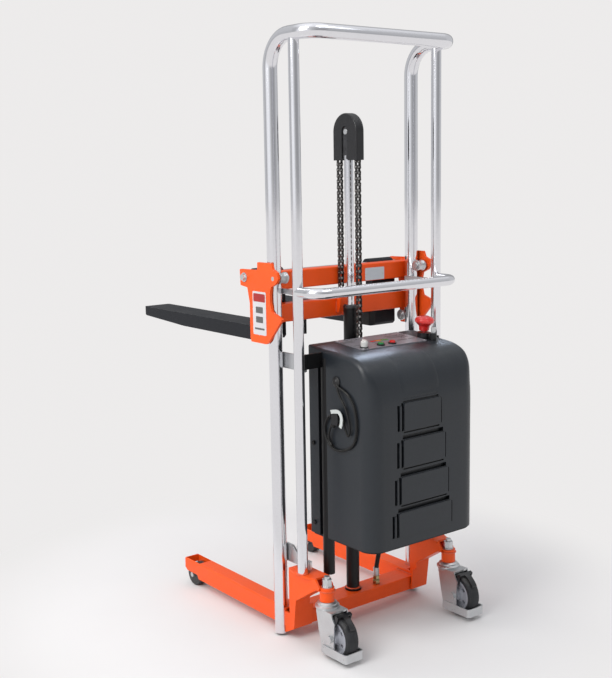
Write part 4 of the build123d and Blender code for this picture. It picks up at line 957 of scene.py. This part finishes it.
def build_hook():
    """Bent flat hook beside the cable loop."""
    bm = bmesh.new()
    path = mm_spline(HOOK_LINE, 6)
    rings = []
    for i, point in enumerate(path):
        along = (path[min(i + 1, len(path) - 1)] - path[max(i - 1, 0)]).normalized()
        side = along.cross(Vector((-1, 0, 0))) if abs(along.x) < 0.7 else Vector((0, 0, 1))
        side = side.normalized() * HOOK_HALF_WIDTH
        normal = along.cross(side).normalized() * HOOK_HALF_THICKNESS
        rings.append(new_ring(bm, (point + side + normal, point - side + normal,
                                   point - side - normal, point + side - normal)))
    add_loft(bm, rings)
    add_object("plug_hook", bm, "guard_white", "base", angle=30)


build_cable()
build_hook()

# ---------------------------------------------------------------- plain labels
LABEL_X, LABEL_Y = -280, 29
PLATE_X, PLATE_Z = 134.5, 983
# centre z, width, height, corner, corner steps, material of the label's printed blocks
LABEL_BLOCKS = ((948, 53, 22, 2.5, 4, 1), (915, 32, 17, 2.0, 4, 2), (889, 32, 17, 2.0, 4, 2),
                (864, 44, 5, 2.0, 4, 2))


def build_label():
    bm = bmesh.new()
    add_pad(bm, facing_left(LABEL_X), (LABEL_Y, 906), (60, 117), corner=4, steps=5,
            height=0.7, shoulder=0.3)
    for z, width, height, corner, steps, material in LABEL_BLOCKS:
        add_pad(bm, facing_left(LABEL_X - 0.6), (LABEL_Y, z), (width, height), corner, steps,
                height=0.3, shoulder=0.1, material=material)
    add_object("blank_label_left", bm, "label_white label_red label_grey", "carriage", angle=40)


def build_name_plate():
    bm = bmesh.new()
    add_pad(bm, facing_back(32), (PLATE_X, PLATE_Z), (73, 36), corner=3, steps=5,
            height=0.9, shoulder=0.4)
    for side in (-1, 1):
        add_lathe(bm, ((2.2, 0), (2.2, 0.6), (1.2, 1.2), (0, 1.3)),
                  mm(PLATE_X + side * 31, 31.2, PLATE_Z), (0, -1, 0), 14, material=1)
    add_object("blank_name_plate", bm, "name_plate zinc_steel", "carriage", angle=40)


build_label()
build_name_plate()

# -------------------------------------------------------------- operator panel
SLOPE = TOP_DROP / TOP_RUN
TOP_NORMAL = (0, -SLOPE / math.sqrt(1 + SLOPE ** 2), 1 / math.sqrt(1 + SLOPE ** 2))
GAUGE_COLOURS = (0, 0, 0, 1, 1, 1, 2, 2, 2, 2)      # red, amber, green
# flat bars on the panel: x, y, width, depth
PANEL_BARS = ((88, -96, 70, 5), (88, -108, 70, 3), (88, -116, 52, 3), (76, -146, 34, 6),
              (112, -146, 24, 6), (-80, -140, 30, 3), (-80, -92, 46, 4), (-80, -102, 46, 3),
              (-22, -150, 16, 2.5), (20, -150, 16, 2.5), (8, -112, 62, 2.5))
SCREW_PLACES = ((-94, -72), (129, -72), (-94, -180), (129, -180))       # x, y


def above_top(base):
    """Placer for pads, `base` above the sloping top of the cover."""
    def place(x, y, height):
        level = base + height
        return mm(x, y + TOP_NORMAL[1] * level,
                  COVER_TOP + SLOPE * (y - COVER_FRONT) + TOP_NORMAL[2] * level)
    return place


def build_panel_details():
    bm = bmesh.new()
    for k, colour in enumerate(GAUGE_COLOURS):
        add_pad(bm, above_top(4.0), (-20.5 + 6.4 * k, -127), (5.0, 8.0), corner=1.0, steps=3,
                height=0.9, shoulder=0.4, material=colour)
    add_object("gauge_bars", bm, "led_red led_amber led_green", "base", angle=40)

    bm = bmesh.new()
    for x, y, width, depth in PANEL_BARS:
        add_pad(bm, above_top(2.5), (x, y), (width, depth), corner=min(width, depth) / 2.4,
                steps=3, height=0.25, shoulder=0.1)
    add_object("panel_plain_bars", bm, "label_grey", "base", angle=40)

    bm = bmesh.new()
    for x, y in SCREW_PLACES:
        add_lathe(bm, ((3.0, 0), (3.0, 0.7), (2.0, 1.6), (0, 1.8)), above_top(2.4)(x, y, 0),
                  TOP_NORMAL, 16)
    add_object("panel_screws", bm, "zinc_steel", "base", angle=40)


build_panel_details()

# ------------------------------------------------------------------ weld beads
RIPPLE = 4.2                            # length of one ripple, drawn in four stations
RING_STATION = 1.1                      # station spacing of the round beads


def ripple(i, _angle):
    return 0.16 * math.sin(i * math.pi / 2) + 0.05 * math.sin(i * 1.7)


def add_bead(bm, start, end, radius=2.6):
    start, end = mm(*start), mm(*end)
    count = int((end - start).length * 1000 / RIPPLE * 4)
    path = [start + (end - start) * (i / count) for i in range(count + 1)]
    add_tube(bm, path, radius, 8, wobble=ripple)


def add_ring_bead(bm, centre, ring_radius, radius=2.6):
    """Level ring of weld."""
    count = int(2 * math.pi * ring_radius / RING_STATION)
    path = []
    for i in range(count):
        angle = 2 * math.pi * i / count
        spoke = Vector((math.cos(angle), math.sin(angle), 0))
        path.append(mm(*centre) + spoke * (ring_radius / 1000))
    add_tube(bm, path, radius, 8, closed=True, wobble=ripple)


def build_frame_welds():
    bm = bmesh.new()
    for side in (-1, 1):
        # ends of the cross-member
        add_bead(bm, (side * 202.5, -55, 72.5), (side * 202.5, 15, 72.5))
        add_bead(bm, (side * 202.5, -56, 36), (side * 202.5, -56, 70))
        # rear tube on the bracket's top plate
        add_ring_bead(bm, (side * 250, -102, 206.5), 14.5)
        # caster socket under the arm
        add_ring_bead(bm, (side * 228, -178, 176.5), 20.5, radius=2.2)
        # outer plate along the front tube
        add_bead(bm, (side * 253.5, -18.5, 90), (side * 253.5, -18.5, 190))
    # foot of the ram's cylinder
    add_ring_bead(bm, (0, RAM_Y, 78), 19.5)
    add_object("frame_welds", bm, "weld_orange", "base", angle=60)


def build_carriage_welds():
    bm = bmesh.new()
    for side in (-1, 1):
        x = side * 271.5
        for z0, z1 in ((963, 1013), (873, 923)):
            add_bead(bm, (x, 31.5, z0 + 3), (x, 31.5, z1 - 3), radius=2.4)
            add_bead(bm, (x, 35, z1 + 0.5), (x, 69, z1 + 0.5), radius=2.4)
    for x in (-11.5, 11.5):
        add_bead(bm, (x, 31.5, 884), (x, 31.5, 916), radius=2.2)
    add_object("carriage_welds", bm, "weld_orange", "carriage", angle=60)


build_frame_welds()
build_carriage_welds()

# ----------------------------------------------------------------------- floor
BACKDROP = (0.846, 0.833, 0.831, 1)
FLOOR_RADII = (0.6, 1.2, 2.0, 3.0, 5.0, 9.0, 16.0, 30.0)
FLOOR_SEGMENTS = 96


def build_floor():
    bm = bmesh.new()
    centre = bm.verts.new((0, 0, 0))
    turns = [2 * math.pi * k / FLOOR_SEGMENTS for k in range(FLOOR_SEGMENTS)]
    rings = [new_ring(bm, [(radius * math.cos(turn), radius * math.sin(turn), 0)
                           for turn in turns]) for radius in FLOOR_RADII]
    for k in range(FLOOR_SEGMENTS):
        j = (k + 1) % FLOOR_SEGMENTS
        bm.faces.new((centre, rings[0][k], rings[0][j]))
        for inner, outer in zip(rings, rings[1:]):
            bm.faces.new((inner[k], outer[k], outer[j], inner[j]))
    return mesh_object("floor", bm)


def floor_material():
    """Pale floor that fades into the backdrop away from the machine."""
    material, net, output = new_material("floor_pale")
    coords = net.coords()
    colour = net.mix(net.ramp(net.noise(coords, scale=2.2, rough=0.5), span=(0.3, 0.7)),
                     (0.738, 0.726, 0.726, 1), (0.752, 0.740, 0.740, 1))
    matt = net.node("ShaderNodeBsdfPrincipled",
                    {"Base Color": colour, "Roughness": 0.85, "Specular IOR Level": 0.08})
    glow = net.node("ShaderNodeEmission", {"Color": BACKDROP})
    distance = net.node("ShaderNodeVectorMath", {0: coords}, operation="LENGTH")
    fade = net.ramp(distance.outputs["Value"], span=(0.62, 1.12))
    net.feed(output.inputs[0], net.mix_shader(fade, matt, glow))
    return material


floor = build_floor()
floor.data.materials.append(floor_material())
floor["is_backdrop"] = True


# ----------------------------------------------------------------------- world
def build_world():
    """Even backdrop for the camera; a studio with dark and bright sides for the light."""
    world = bpy.data.worlds.new("studio")
    SCENE.world = world
    world.use_nodes = True
    net = Net(world.node_tree)
    output = net.node("ShaderNodeOutputWorld")
    direction = net.node("ShaderNodeTexCoord").outputs["Generated"]
    x, y, height = net.node("ShaderNodeSeparateXYZ", {0: direction}).outputs
    azimuth = net.math("ARCTAN2", y, x)
    low = net.ramp(height, span=(-0.05, 0.75), to=(1.0, 0.35))

    def band(centre, half_width, softness, amount):
        """Upright band, angles in degrees, that weakens with height."""
        offset = net.math("ABSOLUTE", net.math("SUBTRACT", azimuth, math.radians(centre)))
        around = net.math("ABSOLUTE", net.math("SUBTRACT", 2 * math.pi, offset))
        offset = net.math("MINIMUM", offset, around)
        span = (math.radians(half_width), math.radians(half_width + softness))
        inside = net.ramp(offset, span, to=(1.0, 0.0))
        return net.math("MULTIPLY", net.math("MULTIPLY", inside, low), amount)

    def lit(*band_values):
        return net.math("SUBTRACT", 1.0, band(*band_values))

    # azimuth, half width, softness, amount
    dark = net.math("MULTIPLY", lit(-85, 14, 45, 0.44),
                    net.math("MULTIPLY", lit(46, 20, 14, 0.50), lit(140, 7, 12, 0.22)))
    sides = net.math("ADD", dark, band(-172, 12, 32, 0.66))
    overhead = net.ramp(height, span=(0.55, 0.95), to=(0.0, 0.5))
    strength = net.math("ADD", net.math("MULTIPLY", sides, 0.62), overhead)
    studio = net.node("ShaderNodeBackground",
                      {"Color": (0.965, 0.975, 1.0, 1), "Strength": strength})
    backdrop = net.node("ShaderNodeBackground", {"Color": BACKDROP})
    seen = net.node("ShaderNodeLightPath").outputs["Is Camera Ray"]
    net.feed(output.inputs[0], net.mix_shader(seen, studio, backdrop))


build_world()


# ---------------------------------------------------------------------- lights
def area_light(name, location, target, size, power, colour):
    light = bpy.data.lights.new(name, "AREA")
    light.shape = "RECTANGLE"
    light.size, light.size_y = size
    light.energy = power
    light.color = colour
    ob = bpy.data.objects.new(name, light)
    SCENE.collection.objects.link(ob)
    ob.location = location
    aim = Vector(target) - Vector(location)
    ob.rotation_euler = aim.to_track_quat("-Z", "Y").to_euler()
    ob.visible_camera = False
    return ob


area_light("key_left", location=(-2.7, -0.6, 2.9), target=(0, -0.1, 0.6), size=(1.6, 2.2),
           power=72, colour=(1.0, 0.99, 0.97))
area_light("top_rear", location=(0.4, -1.5, 3.1), target=(0, -0.25, 0.5), size=(1.8, 1.0),
           power=8, colour=(0.90, 0.94, 1.0))
fill = area_light("front_fill", location=(-1.2, 2.6, 1.8), target=(0, 0, 0.7), size=(1.8, 1.8),
                  power=22, colour=(1.0, 0.98, 0.96))
fill.visible_glossy = False
strip = area_light("sky_strip", location=(2.05, 2.2, 2.95), target=(-0.1, -0.4, 0.8),
                   size=(1.5, 1.0), power=84, colour=(0.68, 0.80, 1.0))
strip.visible_diffuse = False
# the strip lights the moulded cover only: on the bright tubes it would burn out
receivers = bpy.data.collections.new("strip_receivers")
for ob in list(bpy.data.objects):
    if ob.name.startswith("rear_cover_"):
        receivers.objects.link(ob)
strip.light_linking.receiver_collection = receivers

# ---------------------------------------------------------------------- camera
CAMERA_PLACE = (-1.95195, -2.52612, 1.29092)
YAW, PITCH_DOWN, ROLL = 0.6598, 0.1569, -0.01696        # radians


def build_camera():
    forward = Vector((math.sin(YAW) * math.cos(PITCH_DOWN),
                      math.cos(YAW) * math.cos(PITCH_DOWN), -math.sin(PITCH_DOWN)))
    level = Vector((math.cos(YAW), -math.sin(YAW), 0))
    upright = level.cross(forward)
    right = level * math.cos(ROLL) + upright * math.sin(ROLL)
    up = upright * math.cos(ROLL) - level * math.sin(ROLL)
    camera = bpy.data.cameras.new("camera")
    camera.sensor_fit = "VERTICAL"
    camera.sensor_height = 36.0
    camera.lens = 57.63876106
    camera.clip_start = 0.05
    camera.clip_end = 200.0
    ob = bpy.data.objects.new("camera", camera)
    SCENE.collection.objects.link(ob)
    rows = [(right[i], up[i], -forward[i], CAMERA_PLACE[i]) for i in range(3)]
    ob.matrix_world = Matrix((*rows, (0, 0, 0, 1)))
    SCENE.camera = ob


build_camera()
SCENE.view_settings.view_transform = "Standard"
SCENE.view_settings.look = "None"
SCENE.view_settings.exposure = 0.0
SCENE.view_settings.gamma = 1.0


def plain(value):
    """Nested lists of floats, ready for JSON."""
    return [plain(item) for item in value] if hasattr(value, "__len__") else float(value)


{"cad": plain(CAD_BOX), "visual": plain(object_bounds())}
